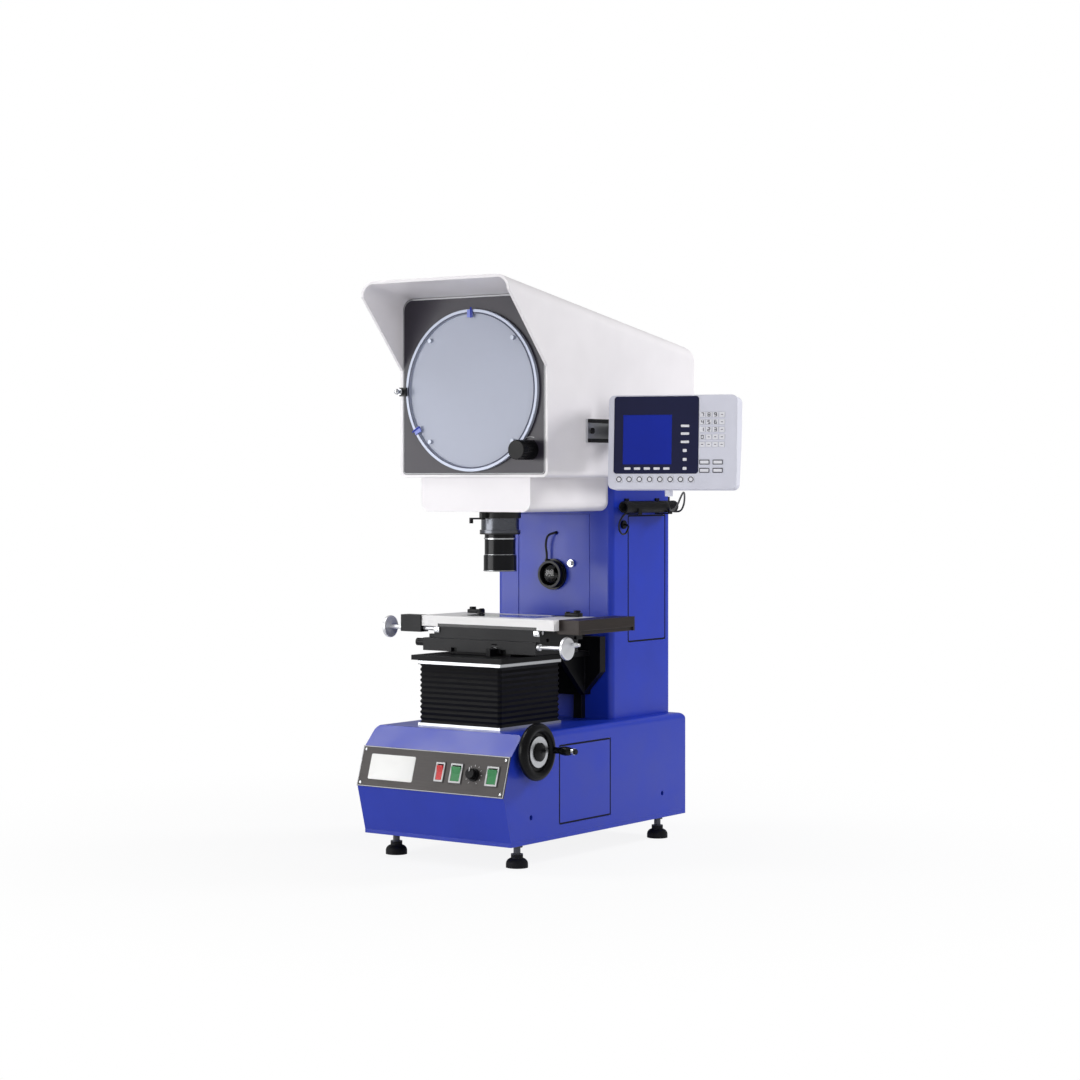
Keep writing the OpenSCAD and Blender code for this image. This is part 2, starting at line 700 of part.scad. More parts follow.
module column_section(grow) {
  translate([0, back((column_y0 + column_y1) / 2)])
    round_rect(column_w + 2 * grow, column_d + 2 * grow, max(column_r + grow, 1));
}
module column_shell() color("mediumblue") difference() {
  translate([0, 0, base_z]) linear_extrude(column_h) difference() {
    column_section(0);
    column_section(-column_wall);
  }
  box(-cover_w / 2, cover_w / 2, back(column_y0) - cut, back(column_y0) + column_wall + cut,
    cover_z0, cover_z1);
  box(column_w / 2 - column_wall - cut, column_w / 2 + cut, back(column_door_y[0]), back(column_door_y[1]),
    column_door_z[0], column_door_z[1]);
  door_pin_holes(column_w / 2, column_door_y, column_door_z);
  for (i = [0 : 9])
    box(-60, 60, back(column_y1) - column_wall - cut, back(column_y1) + cut, base_z + 300 + i * 14,
        base_z + 305 + i * 14);
  x_bar(column_w / 2 - column_wall - cut, column_w / 2 + cut, back(gland_y), gland_z, gland_r + seat_gap);
}
module column_cover() color("mediumblue") difference() {
  union() {
    box(-cover_w / 2 + seam_gap, cover_w / 2 - seam_gap, back(column_y0) + 0.5,
      back(column_y0) + column_wall, cover_z0 + seam_gap, cover_z1 - seam_gap);
    box(-cover_w / 2 - 8, cover_w / 2 + 8, back(column_y0) + column_wall,
      back(column_y0) + column_wall + cover_t, cover_z0 - 8, cover_z1 + 4);
  }
  y_bar(back(column_y0), back(column_y0) + 20, 0, base_z + lamp_h, lamp_r + seat_gap);
  y_bar(back(column_y0), back(column_y0) + 20, thumb_x, base_z + lamp_h + 24, 3 + seat_gap);
  y_bar(back(column_y0), back(column_y0) + 20, cable_end[0], cable_end[2], cable_r + cable_room);
}
module lift_rails() color("silver") for (s = [-1, 1])
  box(s * rail_x - rail_w / 2, s * rail_x + rail_w / 2, back(column_y0) - rail_d, back(column_y0),
      rail_z0, rail_z1);
module surface_lamp() {
  z = base_z + lamp_h;
  front = back(column_y0) - lamp_out;
  color("black") difference() {
    union() {
      y_bar(front, back(column_y0) + 130, 0, z, lamp_r);
      y_bar(back(column_y0) - 6, back(column_y0) + 0.5, 0, z, lamp_r + 4);
      translate([cable_start[0], cable_start[1], z]) cylinder(r = cable_r + 2, h = lamp_r + 3);
    }
    y_bar(front - cut, front + 11, 0, z, lamp_r - 5 + run_gap);
  }
  color("silver") translate([thumb_x, back(column_y0) + 0.5, z + 24]) rotate([90, 0, 0]) {
    cylinder(r = 8, h = 5);
    cylinder(r = 5, h = 11);
    translate([0, 0, -14]) cylinder(r = 3, h = 15);
  }
}
cable_r = 2.5;
// Room round the cable in the cover's hole
cable_room = 1.4;
cable_start = [-12, back(column_y0) - 9, base_z + lamp_h + lamp_r + 3];
cable_end = [6, back(column_y0) + 8, base_z + 389];
cable_route = [cable_start, cable_start + [0, 0, 12], [cable_start[0] - 1, cable_start[1] - 2,
    cable_end[2] - 26],
  [cable_start[0] + 5, cable_start[1] - 3, cable_end[2] - 7], [cable_end[0], cable_end[1] - 13,
      cable_end[2]], cable_end];

// Tube swept along a route: rings of 8 points turned square to the path
function unit(v) = v / norm(v);
function spline(p, i, t) =
  let (a = p[max(i - 1, 0)], b = p[i], c = p[i + 1], d = p[min(i + 2, len(p) - 1)])
  0.5 * ((2 * b) + (c - a) * t + (2 * a - 5 * b + 4 * c - d) * t * t + (3 * b - a - 3 * c + d) * t * t * t);
module tube(route, r, steps, up) {
  path = concat([for (i = [0 : len(route) - 2], k = [0 : steps - 1]) spline(route, i, k / steps)],
      [route[len(route) - 1]]);
  last = len(path) - 1;
  points = [for (i = [0 : last])
    let (t = unit(path[min(i + 1, last)] - path[max(i - 1, 0)]), u = unit(cross(up, t)), v = cross(t, u))
    for (k = [0 : 7]) path[i] + r * (cos(45 * k) * u + sin(45 * k) * v)];
  faces = concat([[for (k = [7 : -1 : 0]) k]], [[for (k = [0 : 7]) 8 * last + k]],
    [for (i = [0 : last - 1], k = [0 : 7]) [8 * i + k, 8 * i + (k + 1) % 8, 8 * i + 8 + (k + 1) % 8,
        8 * i + 8 + k]]);
  polyhedron(points, [for (f = faces) [for (k = [len(f) - 1 : -1 : 0]) f[k]]]);
}
module lamp_cable() color("black") tube(cable_route, cable_r, 4, [0.3, 1, 0.1]);

// Stage: knee on the lift rails, saddle, cross carriage and table

way_x = 62;
way_w = 14;
way_h = 8;
knee_back_y = column_y0 - rail_d - slide_gap;
knee_plate_t = 20;
runner_w = rail_w + 28;
knee_low = base_z + lift_travel + 6;
knee_top = saddle_z;
// Rear plate of the knee: half its width, and the height over which it draws in to the runners
knee_half = column_w / 2 - 7;
knee_taper = 50;
light_x = 36;
light_y = 58;
saddle_shaft_z = saddle_z - 9.6;
saddle_shaft_y = lens - 68;
saddle_shaft_r = 4;
tooth_m = pinion_r * 2 / 15;
rack_x = 40;
rack_bar = 10;
cross_z = carriage_z - 5;
cross_y = lens - 66;
cross_rail_y = 50;
cross_rail_w = 9;
cross_rail_h = 7;
carriage_x0 = table_x - carriage_w / 2;
carriage_x1 = table_x + carriage_w / 2;
table_x0 = table_x - table_w / 2;
table_x1 = table_x + table_w / 2;

module knee() {
  y1 = back(knee_back_y);
  flange_out = 13;
  foot = rail_x + runner_w / 2;
  color("black") difference() {
    union() {
      box(-bellows_w / 2 - flange_out, bellows_w / 2 + flange_out, bellows_mid - bellows_d / 2 - flange_out,
        y1, flange_z, flange_z + flange_t);
      box(-way_x - way_w, way_x + way_w, lens - table_d / 2 + 6, lens + table_d / 2 + 20, flange_z, way_z);
      for (s = [-1, 1]) box(s * way_x - way_w / 2, s * way_x + way_w / 2, lens - table_d / 2 + 6,
        lens + table_d / 2 + 20, flange_z, way_z + way_h);
      y_prism(y1 - knee_plate_t, y1) polygon([[-foot, knee_low], [foot, knee_low],
        [knee_half, knee_low + knee_taper], [knee_half, knee_top], [-knee_half, knee_top],
        [-knee_half, knee_low + knee_taper]]);
      for (s = [-1, 1]) box(s * rail_x - runner_w / 2, s * rail_x + runner_w / 2, y1 - cut,
        back(column_y0) - slide_gap, knee_low, knee_top);
      for (s = [-1, 1]) x_prism(s * 96 - 6, s * 96 + 6) polygon([[y1 - knee_plate_t, knee_low],
        [y1 - knee_plate_t, flange_z], [bellows_mid + bellows_d / 2 + 5, flange_z]]);
    }
    for (s = [-1, 1]) box(s * rail_x - rail_w / 2 - slide_gap, s * rail_x + rail_w / 2 + slide_gap, y1 - 0.2,
      back(column_y0) + cut, knee_low - cut, knee_top + cut);
    box(-light_x, light_x, lens - light_y, lens + light_y, flange_z - cut, way_z + cut);
  }
  color("silver") {
    frame_ring(flange_z - knee_frame_t, knee_frame_t, 3);
    x_prism(rack_x - rack_bar / 2, rack_x + rack_bar / 2) translate([saddle_shaft_y,
        saddle_shaft_z - pinion_r])
      mirror([0, 1]) polygon(rack_points(ceil((in_travel + 5) / (PI * tooth_m)), tooth_m,
        saddle_shaft_z - pinion_r - flange_z - flange_t));
  }
}
module saddle() color("black") difference() {
  y0 = lens - table_d / 2;
  y1 = lens + table_d / 2;
  z0 = saddle_z - saddle_t;
  union() {
    box(-saddle_w / 2, saddle_w / 2, y0, y1, z0, saddle_z);
    for (s = [-1, 1]) box(-saddle_w / 2, saddle_w / 2, lens + s * cross_rail_y - cross_rail_w / 2,
      lens + s * cross_rail_y + cross_rail_w / 2, saddle_z - cut, saddle_z + cross_rail_h);
    box(-12, 12, cross_y - 5.6, cross_y + 5.6, saddle_z - cut, cross_z + 7);
    // Cap over the far end of the crank shaft
    x_bar(-saddle_w / 2 - 20, -saddle_w / 2, saddle_shaft_y, saddle_shaft_z, 8);
  }
  for (s = [-1, 1]) box(s * way_x - way_w / 2 - slide_gap, s * way_x + way_w / 2 + slide_gap, y0 - cut,
      y1 + cut,
    z0 - cut, way_z + way_h + slide_gap);
  box(-light_x, light_x, lens - 42, lens + 42, z0 - cut, saddle_z + cut);
  box(rack_x - rack_bar / 2 - 2, rack_x + rack_bar / 2 + 2, y0 - cut, saddle_shaft_y + 75, z0 - cut,
    saddle_shaft_z - pinion_r + 2);
  x_bar(rack_x - rack_bar / 2 - 2, rack_x + rack_bar / 2 + 2, saddle_shaft_y, saddle_shaft_z, pinion_r + 2);
  x_bar(-saddle_w / 2 - 16, saddle_w / 2 + cut, saddle_shaft_y, saddle_shaft_z, saddle_shaft_r + run_gap);
  x_bar(-13, 13, cross_y, cross_z, screw_r + run_gap);
}
// Crank disc with a fixed pin for its grip, pointing along +X from x = 0
crank_t = 8;
crank_pin_r = 2;
crank_grip_l = 15;
module crank_disc() {
  rotate([0, 90, 0]) rotate_extrude() {
    square([crank_r - 2, crank_t]);
    translate([0, 2]) square([crank_r, crank_t - 4]);
    for (z = [2, crank_t - 2]) translate([crank_r - 2, z]) circle(2);
  }
  x_bar(crank_t - cut, crank_t + crank_grip_l + 1, 0, crank_r * 0.62, crank_pin_r);
  x_bar(crank_t + crank_grip_l + 2 * slide_gap, crank_t + crank_grip_l + 3, 0, crank_r * 0.62,
      crank_pin_r + 1.2);
}
module crank_grip() translate([crank_t + slide_gap, 0, crank_r * 0.62]) barrel_grip(crank_grip_l, 5,
    crank_pin_r + run_gap);
saddle_crank_x = saddle_w / 2 + 66;
module at_saddle_crank() {
  translate([saddle_crank_x, saddle_shaft_y, saddle_shaft_z]) rotate([-60, 0, 0]) children();
}
module saddle_crank() color("silver") {
  x_bar(-saddle_w / 2 - 14, saddle_crank_x + 1, saddle_shaft_y, saddle_shaft_z, saddle_shaft_r);
  x_prism(rack_x - rack_bar / 2 - 1, rack_x + rack_bar / 2 + 1) translate([saddle_shaft_y, saddle_shaft_z])
    polygon(gear_points(15, tooth_m, -90));
  x_bar(saddle_w / 2 + slide_gap, saddle_w / 2 + 6, saddle_shaft_y, saddle_shaft_z, 7);
  at_saddle_crank() crank_disc();
}
module saddle_grip() color("silver") at_saddle_crank() crank_grip();

module cross_carriage() color("black") difference() {
  y0 = lens - table_d / 2;
  z0 = carriage_z - carriage_t;
  box(carriage_x0, carriage_x1, y0, lens + table_d / 2, z0, carriage_z);
  box(table_x - glass_w / 2 + 4, table_x + glass_w / 2 - 4, lens - glass_d / 2 + 4, lens + glass_d / 2 - 4,
    z0 - cut, carriage_z + cut);
  for (s = [-1, 1]) box(carriage_x0 - cut, carriage_x1 + cut,
      lens + s * cross_rail_y - cross_rail_w / 2 - slide_gap,
    lens + s * cross_rail_y + cross_rail_w / 2 + slide_gap, z0 - cut, saddle_z + cross_rail_h + slide_gap);
  // Channel for the cross screw and the nut on the saddle
  box(carriage_x0 - cut, carriage_x1 - 8, cross_y - 6, cross_y + 6, z0 - cut, carriage_z + cut);
  x_bar(carriage_x1 - 9, carriage_x1 + cut, cross_y, cross_z, screw_r + run_gap);
}
module table() color("white") difference() {
  y0 = lens - table_d / 2;
  y1 = lens + table_d / 2;
  box(table_x0, table_x1, y0, y1, carriage_z, table_z);
  box(table_x - glass_w / 2 - seat_gap, table_x + glass_w / 2 + seat_gap, lens - glass_d / 2 - seat_gap,
    lens + glass_d / 2 + seat_gap, table_z - glass_t, table_z + cut);
  box(table_x - glass_w / 2 + 4, table_x + glass_w / 2 - 4, lens - glass_d / 2 + 4, lens + glass_d / 2 - 4,
    carriage_z - cut, table_z);
  box(carriage_x0 - cut, carriage_x1 - 8, cross_y - 6, cross_y + 6, carriage_z - cut,
      cross_z + 7 + slide_gap);
  for (s = [-1, 1], x = [-1, 1]) translate([table_x + x * table_clip_x, lens + s * clip_y, table_z - 14])
    cylinder(r = clip_hole_r, h = 15);
}
glass_t = 5;
clip_hole_r = 2.5;
table_clip_x = table_w / 2 - 34;
clip_y = 58;
module table_glass() color("lightcyan")
  box(table_x - glass_w / 2, table_x + glass_w / 2, lens - glass_d / 2, lens + glass_d / 2,
      table_z - glass_t, table_z);
module work_clips() color("black") for (s = [-1, 1]) translate([table_x + s * table_clip_x,
    lens + clip_y, table_z]) {
  cylinder(r = 7, h = 9);
  translate([0, 0, -10]) cylinder(r = clip_hole_r - run_gap, h = 10);
  translate([0, 0, 9]) cylinder(r = 9, h = 6);
  rotate(-90 - s * 35) translate([0, -6, 1.5]) cube([36, 12, 3]);
}
scale_w = 48;
scale_d = 206;
scale_h = 29;
module scale_box() color([0.2, 0.17, 0.15]) {
  y0 = lens - table_d / 2 + 18;
  y1 = min(y0 + scale_d, back(column_y0) - in_travel - 4);
  difference() {
    box(table_x1, table_x1 + scale_w, y0, y1, table_z - scale_h, table_z);
    box(table_x1 + scale_w - 3, table_x1 + scale_w + cut, y0 + 6, y1 - 6, table_z - scale_h - cut,
        table_z - scale_h + 8);
  }
  box(table_x1 - 10, table_x1 + 1, y0 + 8, lens + table_d / 2 - 8, carriage_z - 7, carriage_z);
  box(table_x1, table_x1 + 6, y0 + 8, lens + table_d / 2 - 8, carriage_z - 7, carriage_z + cut);
}
block_l = 52;
block_d = 26;
block_h = 35;
module screw_block() color("black") difference() {
  box(table_x0 - block_l, table_x0, cross_y - block_d / 2, cross_y + block_d / 2, table_z - block_h, table_z);
  x_bar(table_x0 - block_l - cut, table_x0 + cut, cross_y, cross_z, screw_r + run_gap);
  for (y = [-1, 1]) x_bar(table_x0 - block_l - cut, table_x0 - block_l + 5, cross_y + y * 8, table_z - 7,
      2.5);
}
cross_crank_x = table_x0 - block_l - 34;
module at_cross_crank() {
  translate([cross_crank_x, cross_y, cross_z]) rotate([150, 0, 180]) children();
}
module cross_crank() color("silver") {
  x_bar(cross_crank_x - 1, carriage_x1 - 1, cross_y, cross_z, screw_r);
  x_bar(table_x0 - block_l - 7, table_x0 - block_l - slide_gap, cross_y, cross_z, 8);
  at_cross_crank() crank_disc();
}
module cross_grip() color("silver") at_cross_crank() crank_grip();

// Head

head_y1 = back(head_rear);
// Height of the head's top plane at depth y, lowered by t
function top_z(y, t) = head_z + head_h - (y - face) * tan(head_fall) - t / cos(head_fall);
module head_outline() {
  front = face - hood_out;
  polygon([[face, head_z], [face, head_z + hood_low], [front, top_z(front, head_r)],
    [front, top_z(front, -cut)], [head_y1, top_z(head_y1, -cut)], [head_y1, head_z]]);
}
// Long bar under the sloping top, with round upper edges, inset by t
module top_bar(t) {
  translate([0, face, head_z + head_h]) rotate([-head_fall, 0, 0])
    y_prism(-2 * hood_out, 2 * head_rear) translate([0, -2 * head_h - t])
      arch_rect(head_w - 2 * t, 2 * head_h, head_r - t);
}
// Long bar with round lower edges, inset by t
module low_bar(t) {
  y_prism(face - 2 * hood_out, head_y1 + cut) translate([0, head_z + t + 2 * head_h]) mirror([0, 1])
    arch_rect(head_w - 2 * t, 2 * head_h, head_low_r - t);
}
module head_shell() color("whitesmoke") {
  difference() {
    intersection() {
      x_prism(-head_w / 2, head_w / 2) head_outline();
      top_bar(0);
      low_bar(0);
      // Rounding at the rear of the top
      x_prism(-head_w / 2, head_w / 2) rear_round(0);
    }
    intersection() {
      top_bar(head_wall);
      low_bar(head_wall);
      x_prism(-head_w, head_w) rear_round(head_wall);
    }
    // Way for the light from the neck
    box(-neck_w / 2 + 12, neck_w / 2 - 12, lens - 60, back(column_y0) - 12, head_z - cut,
        head_z + head_wall + cut);
    y_prism(head_y1 - head_wall - cut, head_y1 + cut) for (i = [0 : 7])
      translate([0, head_z + 40 + i * 12]) square([150, 4], center = true);
    x_bar(head_w / 2 - head_wall - cut, head_w / 2 + cut, back(bracket_y0 + 14), arm_z, 3.2);
    x_bar(head_w / 2 - head_wall - cut, head_w / 2 + cut, back(bracket_y1 - 14), arm_z, 3.2);
  }
  // Bracket behind the rear mirror
  m = [rear_mirror[0] + mirror_t * cos(rear_mirror[2]), rear_mirror[1] + mirror_t * sin(rear_mirror[2])];
  x_prism(-30, 30) polygon([[m[0] + 100 * sin(rear_mirror[2]), m[1] - 100 * cos(rear_mirror[2])],
    [head_y1 - head_wall, m[1] - 100 * cos(rear_mirror[2])], [head_y1 - head_wall, m[1] + 60],
    [m[0] - 60 * tan(rear_mirror[2]), m[1] + 60]]);
}
rear_edge_z = top_z(head_y1 - head_r, 0) - head_r;
// Side view of the head with its round upper rear edge, inset by t
module rear_round(t) {
  y0 = face - hood_out - cut;
  low = t > 0 ? head_z + t : head_z - cut;
  polygon([[y0, low], [head_y1 - t, low], [head_y1 - t, rear_edge_z],
    [head_y1 - head_r, rear_edge_z + head_r - t], [head_y1 - head_r, top_z(head_y1 - head_r, t)],
    [y0, top_z(y0, t - cut)]]);
  translate([head_y1 - head_r, rear_edge_z]) circle(head_r - t);
}

plate_edge = head_wall + 0.3;
module face_plate() {
  color("dimgray") difference() {
    intersection() {
      y_prism(face, face + plate_depth) translate([0, head_z + plate_edge])
        arch_rect(head_w - 2 * plate_edge, top_z(face + plate_depth, 0) - head_z - 2 * plate_edge,
          head_r - head_wall);
      low_bar(plate_edge);
    }
    y_bar(face - cut, face + plate_depth + cut, 0, screen_z, sleeve_r + ring_gap);
    y_bar(face - cut, face + plate_depth + cut, knob_x, knob_z, knob_shaft_r + run_gap);
    y_bar(face - cut, face + plate_depth + cut, -lock_x, screen_z, lock_screw_r + run_gap);
  }
  // Clamp that reaches over the ring
  color("black") difference() {
    union() {
      box(-lock_x - 5, -ring_r - 0.6, face - clamp_out, face, screen_z - 9, screen_z + 9);
      box(-lock_x - 5, -ring_r + 5, face - clamp_out, face - ring_out - clip_h - slide_gap, screen_z - 9,
          screen_z + 9);
    }
    y_bar(face - clamp_out - cut, face + cut, -lock_x, screen_z, lock_screw_r + run_gap);
  }
}
plate_depth = 6;
ring_gap = 0.1;
ring_out = 8;
clip_h = 3;
clamp_out = ring_out + clip_h + 5;
sleeve_r = ring_r - 5;
sleeve_l = 20;
ledge_r = ring_r - ring_face - 6;
lock_x = ring_r + 6.5;
lock_screw_r = 2.5;
knob_shaft_r = 5;
knob_turn = -40.5;
roller_r = 27.8;
knob_away = sleeve_r + roller_r + 0.2;
knob_x = knob_away * cos(knob_turn);
knob_z = screen_z + knob_away * sin(knob_turn);

// Round piece about the screen's axis from (r, depth) outlines; depth counts backwards from the face
module screen_turned() {
  translate([0, face, screen_z]) rotate([-90, 0, 0]) rotate_extrude($fn = 128) children();
}
module screen_ring() color("white") screen_turned() difference() {
  union() {
    translate([ledge_r, -ring_out]) square([ring_r - ledge_r, ring_out - slide_gap]);
    translate([ledge_r, -slide_gap - cut]) square([sleeve_r - ledge_r, sleeve_l + slide_gap + cut]);
  }
  translate([ledge_r - cut, -ring_out - cut]) square([ring_r - ring_face - ledge_r + cut,
      ring_out + cut + 2]);
}
module screen_glass() color("lightsteelblue") screen_turned()
  translate([0, 2 - screen_t]) square([ring_r - ring_face - run_gap, screen_t]);
module screen_clips() {
  glass_y = face + 2 - screen_t;
  color("silver") for (a = [45 : 90 : 315])
    y_bar(glass_y - 5, glass_y, 0.89 * ring_r * cos(a), screen_z + 0.89 * ring_r * sin(a), 4.5);
  color("blue") for (a = [90, 211]) translate([0, face, screen_z]) rotate([0, -a, 0])
    box(ring_r - ring_face - 8, ring_r - 1, -ring_out - clip_h, -ring_out, -6, 6);
}
module screen_knob() color("black") {
  y_bar(face - 4, face + sleeve_l, knob_x, knob_z, knob_shaft_r);
  translate([knob_x, face - slide_gap, knob_z]) rotate([90, 0, 0]) difference() {
    rotate_extrude() {
      square([knob_r - 2, knob_l]);
      square([knob_r, knob_l - 2]);
      translate([knob_r - 2, knob_l - 2]) circle(2);
    }
    for (i = [0 : 17]) rotate(i * 20) translate([knob_r + 0.7, 0, 8]) cylinder(r = 1.8, h = knob_l);
  }
  y_bar(face + plate_depth + 2, face + sleeve_l - 4, knob_x, knob_z, roller_r);
}
module screen_lock() color("silver") translate([-lock_x, face - clamp_out, screen_z]) rotate([90, 0, 0]) {
  translate([0, 0, slide_gap]) cylinder(r = 6, h = 5);
  translate([0, 0, slide_gap]) cylinder(r = 4, h = 14);
  translate([0, 0, 14]) sphere(6);
  translate([0, 0, -clamp_out - 4]) cylinder(r = lock_screw_r, h = clamp_out + 5);
}

// Neck with the lens

neck_y0 = face + 8;
neck_wall = 6;
module neck() color("whitesmoke") {
  y1 = back(column_y0);
  difference() {
    y_prism(neck_y0, y1) translate([0, head_z]) mirror([0, 1]) arch_rect(neck_w, neck_h, neck_r);
    y_prism(neck_y0 + neck_wall, y1 - neck_wall) translate([0, head_z + cut]) mirror([0, 1])
      arch_rect(neck_w - 2 * neck_wall, neck_h - neck_wall + cut, neck_r - neck_wall);
    translate([0, lens, neck_z - cut]) cylinder(r = mount_r1 + seat_gap, h = neck_wall + 2 * cut);
  }
  // Block that carries the relay mirror
  a = relay_mirror[2];
  m = [relay_mirror[0] - mirror_t * cos(a), relay_mirror[1] - mirror_t * sin(a)];
  x_prism(-22, 22) polygon([[neck_y0 + neck_wall, m[1] - 24], [m[0] + 24 * tan(a), m[1] - 24],
    [m[0] - 24 * tan(a), m[1] + 24], [neck_y0 + neck_wall, m[1] + 24]]);
}
mount_r = 43;
mount_r1 = 36;
barrel_z = neck_z - mount_h - barrel_l;
lever_a = 262;
lever_at = mount_r + 8;
lever_z = 12;
lever_t = 3.6;
module lens_mount() color("silver") translate([0, lens, neck_z]) difference() {
  union() {
    translate([0, 0, -14]) cylinder(r = mount_r, h = 14);
    translate([0, 0, -14]) cylinder(r = mount_r1, h = 14 + neck_wall);
    translate([0, 0, -mount_h + 8]) cylinder(r = mount_r - 4, h = mount_h - 8);
    translate([0, 0, -mount_h]) cylinder(r = mount_r - 1, h = 9);
    rotate(lever_a) translate([lever_at, 0, -lever_z]) cylinder(r = 7, h = 12);
    rotate(lever_a) translate([0, -7, -lever_z]) cube([lever_at, 14, 12]);
  }
  translate([0, 0, -mount_h - cut]) cylinder(r = barrel_r - 3 + run_gap, h = mount_h + neck_wall + 2 * cut);
  rotate(lever_a) translate([lever_at, 0, -lever_z - cut]) cylinder(r = 2 + run_gap, h = 11);
}
module lens_barrel() color("black") translate([0, lens, barrel_z]) difference() {
  union() {
    cylinder(r = barrel_r + 2, h = barrel_l * 0.43);
    cylinder(r = barrel_r, h = barrel_l);
    cylinder(r = barrel_r - 3, h = barrel_l + mount_h);
  }
  translate([0, 0, -cut]) cylinder(r = barrel_r - 8, h = barrel_l + mount_h + 2 * cut);
  translate([0, 0, -cut]) cylinder(r = barrel_r - 4, h = 7);
}
module lens_lever() color("dimgray") translate([0, lens, neck_z]) rotate(lever_a)
  translate([lever_at, 0, -lever_z - slide_gap - lever_t]) {
    cylinder(r = 2, h = 13);
    cylinder(r = 5, h = lever_t);
    rotate(-50) translate([0, -3, 0]) cube([26, 6, lever_t]);
    rotate(-50) translate([24, 0, -8]) cylinder(r = 4, h = 8 + lever_t);
  }

// Readout on its bracket

bracket_y0 = 258;
bracket_y1 = 405;
arm_z = head_z + 95;
arm_half = 15;
pin_x = head_w / 2 + 146;
pin_y = back(bracket_y1 - 20);
ear_h = 11;
ear_r = pin_r + 8;
case_back = 24;
case_z = head_z + 71;
lead_plug_r = 8;
lead_plug_z = case_z - readout_h / 2 - 14;
lead_at = [-10, -case_back - 40];
// Depth of the case at its lower edge, and the height on it from which its rear stands upright
case_low_d = 36;
case_step_z = 0.1 * readout_h;

module readout_bracket() {
  color("silver") difference() {
    box(head_w / 2, head_w / 2 + 5, back(bracket_y0), back(bracket_y1), arm_z - 24, arm_z + 24);
    for (y = [bracket_y0 + 14, bracket_y1 - 14]) x_bar(head_w / 2 - cut, head_w / 2 + 6, back(y), arm_z, 3.2);
  }
  color("black") {
    for (y = [bracket_y0 + 14, bracket_y1 - 14]) {
      x_bar(head_w / 2 + 5, head_w / 2 + 9, back(y), arm_z, 6);
      x_bar(head_w / 2 - 5, head_w / 2 + 6, back(y), arm_z, 3);
    }
    for (z = [-1, 1]) box(head_w / 2 + 5, head_w / 2 + 12, back(bracket_y0), pin_y + arm_half,
        arm_z + z * 20 - 4, arm_z + z * 20 + 4);
    box(head_w / 2 + 5, pin_x, pin_y - arm_half, pin_y + arm_half, arm_z - arm_half, arm_z + arm_half);
    translate([pin_x, pin_y, arm_z - arm_half]) cylinder(r = arm_half, h = 2 * arm_half);
    translate([pin_x, pin_y, arm_z - arm_half - ear_h - 2]) cylinder(r = pin_r,
        h = 2 * (arm_half + ear_h + 2));
  }
}
// Frame of the readout: pin at the origin, x to its right, y backwards, z from the floor
module on_readout() {
  translate([pin_x, pin_y, 0]) rotate(readout_turn) children();
}
// Frame of the leaning case: x to its right, y backwards from its front, z from its middle
module on_case() {
  on_readout() translate([0, -case_back - readout_d, case_z]) rotate([-readout_lean, 0, 0]) children();
}
module readout_case() color("lightgray") {
  difference() {
    union() {
      on_case() intersection() {
        y_prism(0, readout_d) round_rect(readout_w, readout_h, 12);
        x_prism(-readout_w, readout_w) polygon([[0, -readout_h / 2], [case_low_d, -readout_h / 2],
          [readout_d, case_step_z], [readout_d, readout_h / 2], [0, readout_h / 2]]);
      }
      on_readout() for (s = [-1, 1]) translate([0, 0, arm_z + s * (arm_half + slide_gap + ear_h / 2)]) {
        cylinder(r = ear_r, h = ear_h, center = true);
        translate([-ear_r, -case_back - 12, -ear_h / 2]) cube([2 * ear_r, case_back + 12, ear_h]);
      }
      on_readout() translate([lead_at[0], lead_at[1], lead_plug_z]) cylinder(r = lead_plug_r, h = 30);
    }
    on_readout() translate([0, 0, arm_z - 60]) cylinder(r = pin_r + run_gap, h = 120);
    on_case() translate([bezel_x, 0, bezel_z]) y_prism(-cut, 2) round_rect(bezel_w + 0.4, bezel_h + 0.4, 6.2);
    on_case() for (k = key_places()) translate([k[0], 0, k[1]]) y_prism(-cut, 2) square([k[2] + 0.4,
        k[3] + 0.4], center = true);
  }
}
bezel_w = readout_w * 0.66;
bezel_h = readout_h * 0.82;
bezel_x = -readout_w / 2 + 11.5 + bezel_w / 2;
bezel_z = readout_h / 2 - 2.6 - bezel_h / 2;
lcd_w = 100;
lcd_h = 100;
lcd_x = bezel_x - bezel_w / 2 + 18.5 + lcd_w / 2;
lcd_z = bezel_z - 9.3;
key_rise = 1.2;
// Keys on the case: x, z, width, height
function key_places() = concat(
  [for (i = [0 : 7]) [-readout_w / 2 + 23 + i * 21, -readout_h / 2 + 20, 12, 12]],
  [for (i = [0 : 3], j = [0 : 4]) [readout_w / 2 - 70 + i * 13.2, readout_h / 2 - 40 - j * 15, 11, 10]],
  [for (i = [0 : 1], j = [0 : 1]) [readout_w / 2 - 65 + i * 27, -readout_h / 2 + 54.5 - j * 16.5, 21, 10]]);
module readout_bezel() color("midnightblue") on_case() difference() {
  translate([bezel_x, 0, bezel_z]) y_prism(-0.6, 2) round_rect(bezel_w, bezel_h, 6);
  translate([lcd_x, 0, lcd_z]) y_prism(-cut, 0.4) square([lcd_w, lcd_h], center = true);
}
module readout_display() color("blue") on_case()
  translate([lcd_x, 0, lcd_z]) y_prism(-0.4, 0.4) square([lcd_w - 0.2, lcd_h - 0.2], center = true);
module readout_keys() color("white") on_case()
  for (k = key_places()) translate([k[0], 0, k[1]]) y_prism(-key_rise, 2) square([k[2], k[3]], center = true);

// Lead from the readout: a wound hank on two cradles at the column's side, and a loop to the gland

